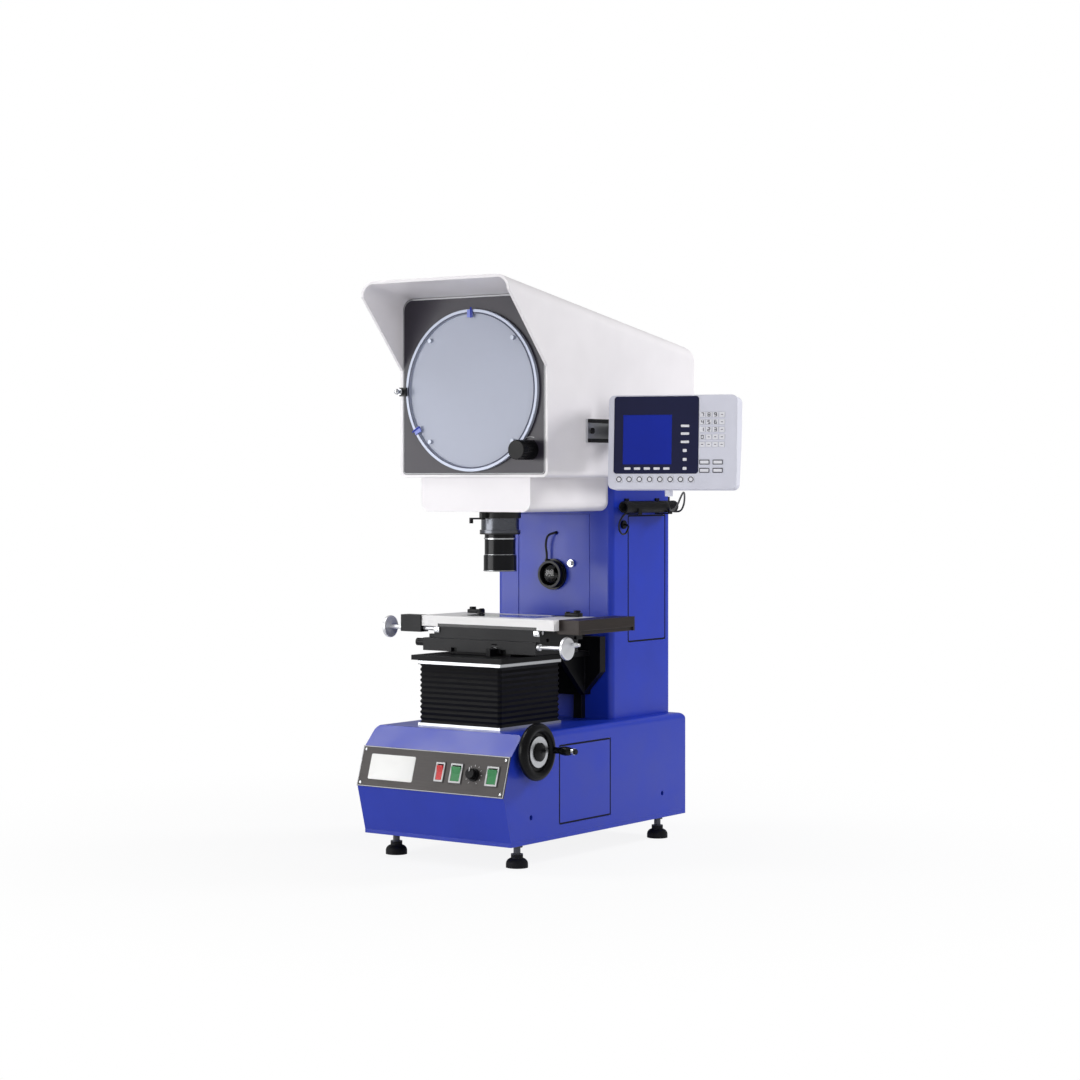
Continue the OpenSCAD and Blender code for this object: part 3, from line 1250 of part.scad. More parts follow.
lead_r = 2;
hank_r = 13;
hank_x = column_w / 2 + 6 + hank_r;
hank_y0 = column_y0 + 14;
hank_y1 = column_y1 - 13;
hank_z = column_door_z[1] + 4 + hank_r;
cradle_w = 14;
cradle_t = 2.5;
cradle_h = hank_z + 18;
cradle_lip = hank_z - 4;
cradles = [hank_y0 + 42, hank_y1 - 43];
gland_out = 5;
gland_in = 4;
gland_flange_r = 9;
lead_start = [pin_x + lead_at[0] * cos(readout_turn) - lead_at[1] * sin(readout_turn),
  pin_y + lead_at[0] * sin(readout_turn) + lead_at[1] * cos(readout_turn), lead_plug_z - 2 * slide_gap];
// Points by their place from the hank's front or rear end
function by_front(x, y, z) = [hank_x + x, back(hank_y0) + y, hank_z + z];
function by_rear(x, y, z) = [hank_x + x, back(hank_y1) + y, hank_z + z];
lead_route = [lead_start, lead_start + [0, 0, -15], lead_start + [-7, 23, -27], lead_start + [-40, 98, -33],
  by_rear(74, -78, -11), by_rear(30, -16, -11), by_rear(4, -2, -10)];
loop_route = [by_front(11, 1, 0), by_front(11, -11, -5), by_front(10, -25, -17), by_front(8, -31, -33),
  by_front(4, -23, -47), by_front(-3, -3, -54), by_front(-9, 15, -49),
  [column_w / 2 + gland_out + 4, back(gland_y), gland_z],
  [column_w / 2 + gland_out + slide_gap, back(gland_y), gland_z]];
module readout_lead() color("black") {
  tube(lead_route, lead_r, 6, [0.2, 0.3, 1]);
  tube(loop_route, lead_r, 5, [1, 0.2, 0.1]);
}
module lead_hank() color("black") y_bar(back(hank_y0), back(hank_y1), hank_x, hank_z, hank_r);
module lead_fittings() color("black") {
  x_bar(column_w / 2 - column_wall - gland_in, column_w / 2 + cut, back(gland_y), gland_z, gland_r);
  x_bar(column_w / 2, column_w / 2 + gland_out, back(gland_y), gland_z, gland_flange_r);
  for (y = cradles) {
    y0 = back(y) - cradle_w / 2;
    low = hank_z - hank_r - slide_gap - cradle_t;
    lip_x = hank_x + hank_r + slide_gap;
    box(column_w / 2, column_w / 2 + cradle_t, y0, y0 + cradle_w, low, cradle_h);
    box(column_w / 2, lip_x + cradle_t, y0, y0 + cradle_w, low, low + cradle_t);
    box(lip_x, lip_x + cradle_t, y0, y0 + cradle_w, low, cradle_lip);
  }
}

base_shell();
base_floor();
levelling_feet();
control_panel();
power_rocker();
contour_rocker();
surface_rocker();
dimmer_knob();
power_inlet();
lamp_house();
lenses();
mirrors();
gear_frame();
handwheel_boss();
handwheel_shaft();
handwheel();
handwheel_grip();
lift_gear();
base_door();
hinge_pins();
bellows();
bellows_frame();
column_shell();
column_cover();
column_door();
lift_rails();
surface_lamp();
lamp_cable();
knee();
lift_rack();
saddle();
saddle_crank();
saddle_grip();
cross_carriage();
table();
table_glass();
work_clips();
scale_box();
screw_block();
cross_crank();
cross_grip();
head_shell();
face_plate();
screen_ring();
screen_glass();
screen_clips();
screen_knob();
screen_lock();
neck();
lens_mount();
lens_barrel();
lens_lever();
readout_bracket();
readout_case();
readout_bezel();
readout_display();
readout_keys();
readout_lead();
lead_hank();
lead_fittings();
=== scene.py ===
"""Dresses a vertical profile projector: finishes, trim, bellows, leads, studio and camera.

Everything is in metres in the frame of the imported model: X to the machine's right, Y to its rear,
Z up, with the floor at z = 0.
"""

from __future__ import annotations

import logging
import math
from dataclasses import dataclass, field
from enum import Enum

import bmesh
import bpy
from mathutils import Matrix, Vector

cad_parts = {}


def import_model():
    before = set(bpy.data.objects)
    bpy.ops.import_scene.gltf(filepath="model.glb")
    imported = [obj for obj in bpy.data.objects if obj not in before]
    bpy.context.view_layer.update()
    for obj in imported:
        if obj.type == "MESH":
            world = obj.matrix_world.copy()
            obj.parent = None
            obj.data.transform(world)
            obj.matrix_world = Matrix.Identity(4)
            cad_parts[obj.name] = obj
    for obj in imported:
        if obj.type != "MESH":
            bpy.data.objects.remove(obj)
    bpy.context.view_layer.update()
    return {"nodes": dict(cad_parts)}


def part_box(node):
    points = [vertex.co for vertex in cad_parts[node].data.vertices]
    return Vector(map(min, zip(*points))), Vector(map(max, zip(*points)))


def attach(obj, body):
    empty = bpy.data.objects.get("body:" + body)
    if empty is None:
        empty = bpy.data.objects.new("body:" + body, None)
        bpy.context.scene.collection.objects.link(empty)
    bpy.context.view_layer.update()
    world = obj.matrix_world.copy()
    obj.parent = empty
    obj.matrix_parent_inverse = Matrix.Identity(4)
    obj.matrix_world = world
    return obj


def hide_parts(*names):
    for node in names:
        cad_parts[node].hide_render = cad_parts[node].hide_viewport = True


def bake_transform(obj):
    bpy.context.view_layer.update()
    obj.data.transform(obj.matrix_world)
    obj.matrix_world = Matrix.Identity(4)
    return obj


LOG = logging.getLogger("projector")
MM = 0.001
QUARTER = math.radians(90)

Colour = tuple[float, float, float, float]
Point = tuple[float, float, float]
Flat = tuple[float, float]
Looks = tuple[tuple[str, tuple[str, ...]], ...]

WHITE: Colour = (1.0, 1.0, 1.0, 1.0)
GLOSSY_SHARE = 0.3  # how much of the white background glossy surfaces mirror
LAMP_AIM = (0.0, -0.05, 0.65)  # middle of the machine, which every lamp faces
EDGE_RANGE = (0.98, 0.75)  # cosines between which a turn of the surface grows into an edge
NOISE_RANGE = (0.3, 0.7)  # where most of a noise's values lie
SMEAR_RANGE = (0.45, 0.8)  # values of the noise over which glass goes from clean to smeared
COAT_ROUGHNESS = 0.12
BUMP_DISTANCE = 0.0005
SAME = 1e-7  # lengths under this count as none
SEAM_REACH = 0.00005  # points of a folded sheet's seam that are joined
ROUND_SMOOTH = 60.0  # angle under which the sides of a tube are shaded as one, in degrees


def paint(red: int, green: int, blue: int) -> Colour:
    """Turns a colour as the eye reads it, 0 to 255, into the linear values that shaders take.

    Args:
        red: Red share.
        green: Green share.
        blue: Blue share.

    Returns:
        Linear red, green, blue and an alpha of 1.
    """

    def linear(value: int) -> float:
        """Returns one channel without its display curve."""
        share = value / 255
        return share / 12.92 if share <= 0.04045 else ((share + 0.055) / 1.055) ** 2.4

    return (linear(red), linear(green), linear(blue), 1.0)


class Grain(Enum):
    """Way that the fine lines of a worked metal run, as stretches of the pattern along X, Y and Z."""

    ALONG_X = (0.03, 1.0, 1.0)
    ALONG_Y = (1.0, 0.03, 1.0)
    EVEN = (1.0, 1.0, 1.0)


# Node trees


@dataclass(frozen=True)
class Net:
    """A node tree, with short ways to add nodes and join them."""

    tree: bpy.types.NodeTree

    def add(
        self, kind: str, inputs: dict[str | int, object] | None = None, **options: object
    ) -> bpy.types.Node:
        """Adds a node.

        Args:
            kind: Type of the node.
            inputs: What each input takes: a socket to join it to, or a value.
            options: Settings of the node, made before its inputs are filled.

        Returns:
            The new node.
        """
        node = self.tree.nodes.new(kind)
        for name, value in options.items():
            setattr(node, name, value)
        self.fill(node, inputs or {})
        return node

    def fill(self, node: bpy.types.Node, inputs: dict[str | int, object]) -> None:
        """Joins sockets to a node's inputs, or sets their values."""
        for label, value in inputs.items():
            if isinstance(value, bpy.types.NodeSocket):
                self.tree.links.new(value, node.inputs[label])
            else:
                node.inputs[label].default_value = value

    def given(self, label: str) -> bpy.types.NodeSocket:
        """Returns what comes into the group under a name."""
        return self.tree.nodes["in"].outputs[label]

    def give(self, **results: bpy.types.NodeSocket) -> bpy.types.NodeTree:
        """Joins the group's outputs and returns its tree."""
        self.fill(self.tree.nodes["out"], results)
        return self.tree

    def math(self, operation: str, *values: object) -> bpy.types.NodeSocket:
        """Returns the result of a maths node whose inputs are sockets or numbers."""
        return self.add("ShaderNodeMath", dict(enumerate(values)), operation=operation).outputs["Value"]

    def vector(self, operation: str, *values: object, result: str = "Vector") -> bpy.types.NodeSocket:
        """Returns the result of a vector maths node whose inputs are sockets or vectors."""
        return self.add("ShaderNodeVectorMath", dict(enumerate(values)), operation=operation).outputs[result]

    def parts(self, vector: bpy.types.NodeSocket) -> bpy.types.NodeOutputs:
        """Returns the X, Y and Z of a vector."""
        return self.add("ShaderNodeSeparateXYZ", {"Vector": vector}).outputs

    def ramp(
        self, value: bpy.types.NodeSocket, source: Flat, result: Flat = (0.0, 1.0), **options: object
    ) -> bpy.types.NodeSocket:
        """Returns a socket that goes over the range result as value goes over the range source."""
        inputs = {"Value": value, "From Min": source[0], "From Max": source[1],
                  "To Min": result[0], "To Max": result[1]}
        return self.add("ShaderNodeMapRange", inputs, **options).outputs["Result"]

    def mix(
        self, kind: str, mask: object, below: object, above: object, **options: object
    ) -> bpy.types.NodeSocket:
        """Returns below, covered by above where the mask is 1, as a FLOAT or an RGBA socket."""
        inputs = {"Factor": mask, "A": below, "B": above}
        return self.add("ShaderNodeMix", inputs, data_type=kind, **options).outputs["Result"]


def node_group(name: str, kind: str, inputs: dict[str, tuple[str, object]], outputs: dict[str, str]) -> Net:
    """Makes an empty node group with named sockets.

    Args:
        name: Name of the group.
        kind: Type of its tree.
        inputs: Socket type and default for each input.
        outputs: Socket type for each output.

    Returns:
        The group, with its input and output nodes in place.
    """
    tree = bpy.data.node_groups.new(name, kind)
    for label, (socket_type, default) in inputs.items():
        socket = tree.interface.new_socket(label, in_out="INPUT", socket_type=f"NodeSocket{socket_type}")
        if default is not None:
            socket.default_value = default
    for label, socket_type in outputs.items():
        tree.interface.new_socket(label, in_out="OUTPUT", socket_type=f"NodeSocket{socket_type}")
    tree.nodes.new("NodeGroupInput").name = "in"
    tree.nodes.new("NodeGroupOutput").name = "out"
    return Net(tree)


def new_material(name: str) -> tuple[bpy.types.Material, Net, bpy.types.Node]:
    """Returns a new material, its node tree and its shader."""
    material = bpy.data.materials.new(name)
    material.use_nodes = True
    return material, Net(material.node_tree), material.node_tree.nodes["Principled BSDF"]


class ShaderKit:
    """Holds the shader node groups that several finishes share."""

    def __init__(self) -> None:
        """Builds every group once."""
        self.soft_edge = self._soft_edge()
        self.surface_grain = self._surface_grain()
        self.box_mask = self._box_mask()

    @staticmethod
    def _soft_edge() -> bpy.types.NodeTree:
        """Returns a group that rounds the shading of sharp edges and masks them."""
        net = node_group("soft_edge", "ShaderNodeTree", {"Radius": ("Float", 0.001)},
                         {"Normal": "Vector", "Edge": "Float"})
        soft = net.add("ShaderNodeBevel", {"Radius": net.given("Radius")}, samples=4).outputs["Normal"]
        hard = net.add("ShaderNodeNewGeometry").outputs["Normal"]
        turn = net.vector("DOT_PRODUCT", soft, hard, result="Value")
        return net.give(Normal=soft, Edge=net.ramp(turn, EDGE_RANGE))

    @staticmethod
    def _surface_grain() -> bpy.types.NodeTree:
        """Returns a group with a fine height, and a slow mottle for colour and gloss."""
        net = node_group("surface_grain", "ShaderNodeTree", {
            "Vector": ("Vector", None), "Stretch": ("Vector", (1.0, 1.0, 1.0)),
            "Fine Scale": ("Float", 900.0), "Mottle Scale": ("Float", 14.0),
        }, {"Height": "Float", "Mottle": "Float"})
        at = net.given("Vector")
        stretched = net.vector("MULTIPLY", at, net.given("Stretch"))
        fine, slow = (
            net.add("ShaderNodeTexNoise", {"Vector": where, "Scale": net.given(scale), "Detail": detail})
            for where, scale, detail in ((stretched, "Fine Scale", 2.0), (at, "Mottle Scale", 3.0))
        )
        return net.give(Height=fine.outputs["Fac"], Mottle=slow.outputs["Fac"])

    @staticmethod
    def _box_mask() -> bpy.types.NodeTree:
        """Returns a group that is 1 inside a box and 0 outside it."""
        net = node_group("box_mask", "ShaderNodeTree", {
            "Vector": ("Vector", None), "Low": ("Vector", (0.0, 0.0, 0.0)),
            "High": ("Vector", (1.0, 1.0, 1.0)),
        }, {"Mask": "Float"})
        above = net.vector("SUBTRACT", net.given("Vector"), net.given("Low"))
        below = net.vector("SUBTRACT", net.given("High"), net.given("Vector"))
        least = net.parts(net.vector("MINIMUM", above, below))
        depth = net.math("MINIMUM", net.math("MINIMUM", least["X"], least["Y"]), least["Z"])
        return net.give(Mask=net.math("GREATER_THAN", depth, 0.0))


# Finishes


@dataclass(frozen=True)
class Patch:
    """A box of a node's surface that has another colour, gloss and metalness."""

    low: Point
    high: Point
    colour: Colour
    roughness: float
    metallic: float


@dataclass(frozen=True)
class Finish:
    """A worked or coated surface with grain, mottle, soft edges and worn edges."""

    name: str
    colour: Colour
    roughness: float = 0.4
    metallic: float = 0.0
    coat: float = 0.0
    specular: float = 0.5
    grain: Grain = Grain.EVEN
    fine_scale: float = 900.0
    height: float = 0.02
    mottle: float = 0.06
    mottle_scale: float = 14.0
    gloss_spread: float = 0.12
    edge_radius: float = 0.0012
    edge_wear: float = 0.12
    wear_colour: Colour = (0.8, 0.8, 0.8, 1.0)
    glow: float = 0.0
    patches: tuple[Patch, ...] = ()

    def make(self, kit: ShaderKit) -> bpy.types.Material:
        """Builds the material.

        Args:
            kit: The shared shader groups.

        Returns:
            The finished material.
        """
        material, net, shader = new_material(self.name)
        place = net.add("ShaderNodeTexCoord").outputs["Object"]
        grain = net.add("ShaderNodeGroup", {
            "Vector": place, "Stretch": self.grain.value, "Fine Scale": self.fine_scale,
            "Mottle Scale": self.mottle_scale,
        }, node_tree=kit.surface_grain).outputs
        edge = net.add("ShaderNodeGroup", {"Radius": self.edge_radius}, node_tree=kit.soft_edge).outputs
        colour = self._colour(net, grain, edge["Edge"])
        gloss = self._swing(net, grain["Mottle"], self.roughness, self.gloss_spread)
        metal = self.metallic
        for patch in self.patches:
            box = {"Vector": place, "Low": patch.low, "High": patch.high}
            mask = net.add("ShaderNodeGroup", box, node_tree=kit.box_mask).outputs["Mask"]
            colour = net.mix("RGBA", mask, colour, patch.colour)
            gloss = net.mix("FLOAT", mask, gloss, patch.roughness)
            metal = net.mix("FLOAT", mask, metal, patch.metallic)
        bump = net.add("ShaderNodeBump", {
            "Strength": self.height, "Distance": BUMP_DISTANCE, "Height": grain["Height"],
            "Normal": edge["Normal"],
        })
        net.fill(shader, {
            "Base Color": colour, "Roughness": gloss, "Metallic": metal, "Normal": bump.outputs["Normal"],
            "Coat Weight": self.coat, "Coat Roughness": COAT_ROUGHNESS, "Specular IOR Level": self.specular,
            "Emission Color": self.colour, "Emission Strength": self.glow,
        })
        return material

    def _colour(
        self, net: Net, grain: bpy.types.NodeOutputs, edge: bpy.types.NodeSocket
    ) -> bpy.types.NodeSocket:
        """Returns the colour socket: the coat's colour, mottled, and worn along its edges."""
        shade = self._swing(net, grain["Mottle"], 1.0, 2 * self.mottle)
        if self.grain is not Grain.EVEN:
            shade = net.math("MULTIPLY", shade, self._swing(net, grain["Height"], 1.0, 4 * self.mottle))
        toned = net.mix("RGBA", 1.0, self.colour, shade, blend_type="MULTIPLY")
        return net.mix("RGBA", net.math("MULTIPLY", edge, self.edge_wear), toned, self.wear_colour)

    @staticmethod
    def _swing(net: Net, noise: bpy.types.NodeSocket, middle: float, spread: float) -> bpy.types.NodeSocket:
        """Returns a socket that swings by spread about middle with a noise."""
        return net.ramp(noise, NOISE_RANGE, (middle - spread / 2, middle + spread / 2))


@dataclass(frozen=True)
class ClearGlass:
    """Polished glass that light passes through, a little smeared."""

    name: str
    tint: Colour
    roughness: float = 0.02
    smear: float = 0.06
    ior: float = 1.5

    def make(self, kit: ShaderKit) -> bpy.types.Material:
        """Builds the material.

        Args:
            kit: The shared shader groups.

        Returns:
            The finished material.
        """
        material, net, shader = new_material(self.name)
        place = net.add("ShaderNodeTexCoord").outputs["Object"]
        grain = net.add("ShaderNodeGroup", {"Vector": place}, node_tree=kit.surface_grain)
        gloss = net.ramp(grain.outputs["Mottle"], SMEAR_RANGE, (self.roughness, self.roughness + self.smear))
        net.fill(shader, {
            "Base Color": self.tint, "Transmission Weight": 1.0, "IOR": self.ior, "Roughness": gloss,
        })
        return material


@dataclass
class Palette:
    """Every finish of the machine, made once and handed out by name."""

    kit: ShaderKit
    finishes: dict[str, Finish | ClearGlass]
    made: dict[str, bpy.types.Material] = field(default_factory=dict)

    def get(self, name: str) -> bpy.types.Material:
        """Returns the material of that name, made at its first use."""
        if name not in self.made:
            self.made[name] = self.finishes[name].make(self.kit)
        return self.made[name]


# Meshes


class Shape:
    """A mesh in the making, with a place that later parts are put in."""

    def __init__(self, place: Matrix | None = None) -> None:
        """Starts with an empty mesh.

        Args:
            place: Where the parts go, or nothing for the origin.
        """
        self.mesh = bmesh.new()
        self.place = place or Matrix.Identity(4)

    def _add(self, part: bmesh.types.BMesh) -> Shape:
        """Puts a part in its place, joins it to the mesh and returns this shape."""
        part.transform(self.place)
        data = bpy.data.meshes.new("part")
        part.to_mesh(data)
        part.free()
        self.mesh.from_mesh(data)
        bpy.data.meshes.remove(data)
        return self

    @staticmethod
    def _band(
        part: bmesh.types.BMesh, ring: list[bmesh.types.BMVert], following: list[bmesh.types.BMVert]
    ) -> None:
        """Closes the band between two rings, either of which may be a single point."""
        count = max(len(ring), len(following))
        for i in range(count):
            j = (i + 1) % count
            if len(ring) == 1:
                part.faces.new((ring[0], following[i], following[j]))
            elif len(following) == 1:
                part.faces.new((ring[i], ring[j], following[0]))
            else:
                part.faces.new((ring[i], ring[j], following[j], following[i]))

    def block(self, low: Point, high: Point, bevel: float = 0.0) -> Shape:
        """Adds a block with bevelled edges.

        Args:
            low: Lowest corner.
            high: Highest corner.
            bevel: Width of the bevel.

        Returns:
            This shape.
        """
        part = bmesh.new()
        size = Vector(high) - Vector(low)
        bmesh.ops.create_cube(part, size=1.0)
        bmesh.ops.scale(part, vec=size, verts=part.verts)
        bmesh.ops.translate(part, vec=(Vector(low) + Vector(high)) / 2, verts=part.verts)
        if bevel > 0:
            bmesh.ops.bevel(part, geom=part.edges[:], offset=bevel, segments=2, affect="EDGES", profile=0.5)
        return self._add(part)

    def plate(self, outline: list[Flat], low: float, high: float, bevel: float = 0.0) -> Shape:
        """Adds a plate: an outline in x and y, drawn out along z.

        Args:
            outline: Corners, counter-clockwise.
            low: Lower face.
            high: Upper face.
            bevel: Width of a bevel round the upper face.

        Returns:
            This shape.
        """
        part = bmesh.new()
        base = part.faces.new([part.verts.new((x, y, low)) for x, y in outline])
        raised = bmesh.ops.extrude_face_region(part, geom=[base])
        top = [v for v in raised["geom"] if isinstance(v, bmesh.types.BMVert)]
        bmesh.ops.translate(part, vec=(0, 0, high - low), verts=top)
        bmesh.ops.recalc_face_normals(part, faces=part.faces[:])
        if bevel > 0:
            rim = [e for e in part.edges if all(abs(v.co.z - high) < SAME for v in e.verts)]
            bmesh.ops.bevel(part, geom=rim, offset=bevel, segments=2, affect="EDGES", profile=0.5)
        return self._add(part)

    def frame(self, outer: list[Flat], inner: list[Flat], low: float, high: float) -> Shape:
        """Adds a flat frame between two outlines with the same number of corners.

        Args:
            outer: Outer corners.
            inner: Inner corners, in the same order.
            low: Lower face.
            high: Upper face.

        Returns:
            This shape.
        """
        part = bmesh.new()
        lines = ((outer, low), (outer, high), (inner, high), (inner, low))
        rings = [[part.verts.new((x, y, z)) for x, y in line] for line, z in lines]
        for ring, following in zip(rings, rings[1:] + rings[:1]):
            self._band(part, ring, following)
        bmesh.ops.recalc_face_normals(part, faces=part.faces[:])
        return self._add(part)

    def turned(self, profile: list[Flat], steps: int) -> Shape:
        """Adds a closed round piece: a profile of radius and height turned about z.

        Args:
            profile: Points from the axis at the bottom to the axis at the top.
            steps: Sides of the round piece.

        Returns:
            This shape.
        """
        part = bmesh.new()
        rings = []
        for radius, height in profile:
            line = circle(radius, steps=steps) if radius > SAME else [(0.0, 0.0)]
            rings.append([part.verts.new((x, y, height)) for x, y in line])
        for lower, upper in zip(rings, rings[1:]):
            self._band(part, lower, upper)
        bmesh.ops.recalc_face_normals(part, faces=part.faces[:])
        return self._add(part)

    def tube(self, path: list[Vector], radius: float, sides: int) -> Shape:
        """Adds a closed round tube along a path.

        Args:
            path: Points of the centre line, close together.
            radius: Radius of the tube.
            sides: Sides of the tube.

        Returns:
            This shape.
        """
        part = bmesh.new()
        rings = []
        across = None
        line = circle(1.0, steps=sides)
        for i, point in enumerate(path):
            along = (path[min(i + 1, len(path) - 1)] - path[max(i - 1, 0)]).normalized()
            if across is None:
                across = along.orthogonal().normalized()
            across = (across - along * across.dot(along)).normalized()
            other = along.cross(across)
            rings.append([part.verts.new(point + radius * (x * across + y * other)) for x, y in line])
        for ring, following in zip(rings, rings[1:]):
            self._band(part, ring, following)
        part.faces.new(rings[0][::-1])
        part.faces.new(rings[-1])
        bmesh.ops.recalc_face_normals(part, faces=part.faces[:])
        return self._add(part)

    def finish(self, name: str, material: bpy.types.Material, smooth: float = 30.0) -> bpy.types.Object:
        """Turns the mesh into an object at the origin.

        Args:
            name: Name of the piece.
            material: Its finish.
            smooth: Edges flatter than this angle are shaded smooth, in degrees.

        Returns:
            The new object.
        """
        data = bpy.data.meshes.new(name)
        self.mesh.to_mesh(data)
        self.mesh.free()
        data.materials.append(material)
        data.shade_smooth()
        data.set_sharp_from_angle(angle=math.radians(smooth))
        piece = bpy.data.objects.new(name, data)
        bpy.context.scene.collection.objects.link(piece)
        return piece


def rounded(
    width: float, height: float, radius: float, at: Flat = (0.0, 0.0), steps: int = 5,
    low_radius: float | None = None,
) -> list[Flat]:
    """Returns the corners of a rectangle with round corners, counter-clockwise.

    Args:
        width: Width along x.
        height: Height along y.
        radius: Radius of the corners.
        at: Middle of the rectangle.
        steps: Points in each corner.
        low_radius: Radius of the two lower corners, where it is another.

    Returns:
        Points in x and y.
    """
    points = []
    for sx, sy, start in ((1, -1, -90), (1, 1, 0), (-1, 1, 90), (-1, -1, 180)):
        turn = low_radius if sy < 0 and low_radius is not None else radius
        for k in range(steps):
            angle = math.radians(start + 90 * k / (steps - 1))
            points.append((
                at[0] + sx * (width / 2 - turn) + turn * math.cos(angle),
                at[1] + sy * (height / 2 - turn) + turn * math.sin(angle),
            ))
    return points


def circle(radius: float, at: Flat = (0.0, 0.0), steps: int = 32) -> list[Flat]:
    """Returns points on a circle, counter-clockwise."""
    turns = [math.tau * k / steps for k in range(steps)]
    return [(at[0] + radius * math.cos(a), at[1] + radius * math.sin(a)) for a in turns]


def smooth_path(route: list[Point], steps: int) -> list[Vector]:
    """Returns close points on a smooth curve through a route.

    Args:
        route: Points that the curve passes through, in millimetres.
        steps: Points for each stretch of the route.

    Returns:
        Points in metres.
    """
    points = [Vector(p) * MM for p in route]
    path = []
    for i in range(len(points) - 1):
        a, b = points[max(i - 1, 0)], points[i]
        c, d = points[i + 1], points[min(i + 2, len(points) - 1)]
        for k in range(steps):
            t = k / steps
            path.append(0.5 * (2 * b + (c - a) * t + (2 * a - 5 * b + 4 * c - d) * t * t
                               + (3 * b - a - 3 * c + d) * t * t * t))
    return path + [points[-1]]


def path_length(path: list[Vector]) -> float:
    """Returns the length of a path."""
    return sum((b - a).length for a, b in zip(path, path[1:]))


# Geometry node trees


class NodeKit:
    """Builds the geometry node trees and turns their results into plain meshes."""

    def __init__(self) -> None:
        """Builds the trees once."""
        self.bellows = self._bellows()
        self.scatter = self._scatter()

    @staticmethod
    def _tree(name: str, inputs: dict[str, str]) -> Net:
        """Returns an empty tree that takes and gives geometry, with named inputs of given socket types."""
        sockets = {label: (kind, None) for label, kind in ({"Geometry": "Geometry"} | inputs).items()}
        return node_group(name, "GeometryNodeTree", sockets, {"Geometry": "Geometry"})

    @staticmethod
    def _end(net: Net, geometry: bpy.types.NodeSocket) -> bpy.types.NodeTree:
        """Ends a tree in Realize Instances and Set Material, and returns it."""
        real = net.add("GeometryNodeRealizeInstances", {"Geometry": geometry}).outputs["Geometry"]
        inputs = {"Geometry": real, "Material": net.given("Material")}
        return net.give(Geometry=net.add("GeometryNodeSetMaterial", inputs).outputs["Geometry"])

    def _bellows(self) -> bpy.types.NodeTree:
        """Returns a tree that folds a sheet round a rectangle with round corners, in even pleats."""
        sizes = ("Width", "Depth", "Corner", "Low", "High", "Middle Y", "Folds", "Fold Depth")
        net = self._tree("bellows_folds", dict.fromkeys(sizes, "Float") | {
            "Round": "Int", "Up": "Int", "Material": "Material",
        })
        given, calc = net.given, net.math
        sheet = net.add("GeometryNodeMeshGrid", {
            "Size X": 1.0, "Size Y": 1.0, "Vertices X": given("Round"), "Vertices Y": given("Up"),
        })
        spot = net.parts(net.add("GeometryNodeInputPosition").outputs["Position"])
        around, up = (calc("ADD", spot[axis], 0.5) for axis in "XY")
        outline = net.add("GeometryNodeCurvePrimitiveQuadrilateral", {
            "Width": given("Width"), "Height": given("Depth"),
        })
        fillet = net.add("GeometryNodeFilletCurve", {
            "Curve": outline.outputs["Curve"], "Radius": given("Corner"), "Count": 6,
        }, mode="POLY")
        sample = net.add("GeometryNodeSampleCurve", {
            "Curves": fillet.outputs["Curve"], "Factor": around,
        }, mode="FACTOR", use_all_curves=True)
        rim = net.parts(sample.outputs["Position"])
        pleat = calc("PINGPONG", calc("MULTIPLY", calc("MULTIPLY", up, given("Folds")), 2.0), 1.0)
        inset = calc("MULTIPLY", calc("MULTIPLY", pleat, given("Fold Depth")), 2.0)
        x, y = (
            calc("MULTIPLY", rim[axis], calc("SUBTRACT", 1.0, calc("DIVIDE", inset, given(size))))
            for axis, size in (("X", "Width"), ("Y", "Depth"))
        )
        rise = calc("SUBTRACT", given("High"), given("Low"))
        place = net.add("ShaderNodeCombineXYZ", {
            "X": x, "Y": calc("ADD", y, given("Middle Y")),
            "Z": calc("ADD", calc("MULTIPLY", up, rise), given("Low")),
        })
        move = net.add("GeometryNodeSetPosition", {
            "Geometry": sheet.outputs["Mesh"], "Position": place.outputs["Vector"],
        })
        seam = net.add("GeometryNodeMergeByDistance", {
            "Geometry": move.outputs["Geometry"], "Distance": SEAM_REACH,
        })
        return self._end(net, seam.outputs["Geometry"])

    def _scatter(self) -> bpy.types.NodeTree:
        """Returns a tree that sets a small piece on each point of a mesh, turned by the point's own turn."""
        net = self._tree("set_on_points", {"Piece": "Object", "Material": "Material"})
        shape = net.add("GeometryNodeObjectInfo", {"Object": net.given("Piece")})
        turn = net.add("GeometryNodeInputNamedAttribute", {"Name": "turn"}, data_type="FLOAT_VECTOR")
        to_turn = net.add("FunctionNodeEulerToRotation", {"Euler": turn.outputs["Attribute"]})
        put = net.add("GeometryNodeInstanceOnPoints", {
            "Points": net.given("Geometry"), "Instance": shape.outputs["Geometry"],
            "Rotation": to_turn.outputs["Rotation"],
        })
        return self._end(net, put.outputs["Instances"])

    @staticmethod
    def run(
        name: str, tree: bpy.types.NodeTree, start: bpy.types.Mesh, values: dict[str, object]
    ) -> bpy.types.Object:
        """Runs a tree on a mesh and returns the result as a plain mesh object.

        Args:
            name: Name of the piece.
            tree: The tree to run.
            start: Mesh that goes in.
            values: Value of each named input.

        Returns:
            The finished object, at the origin and without a modifier.
        """
        worker = bpy.data.objects.new(name + ".work", start)
        bpy.context.scene.collection.objects.link(worker)
        modifier = worker.modifiers.new("shape", "NODES")
        modifier.node_group = tree
        for item in tree.interface.items_tree:
            if item.in_out == "INPUT" and item.name in values:
                modifier[item.identifier] = values[item.name]
        graph = bpy.context.evaluated_depsgraph_get()
        data = bpy.data.meshes.new_from_object(worker.evaluated_get(graph), depsgraph=graph)
        worker.modifiers.remove(modifier)
        bpy.data.objects.remove(worker)
        data.name = name
        piece = bpy.data.objects.new(name, data)
        bpy.context.scene.collection.objects.link(piece)
        return piece

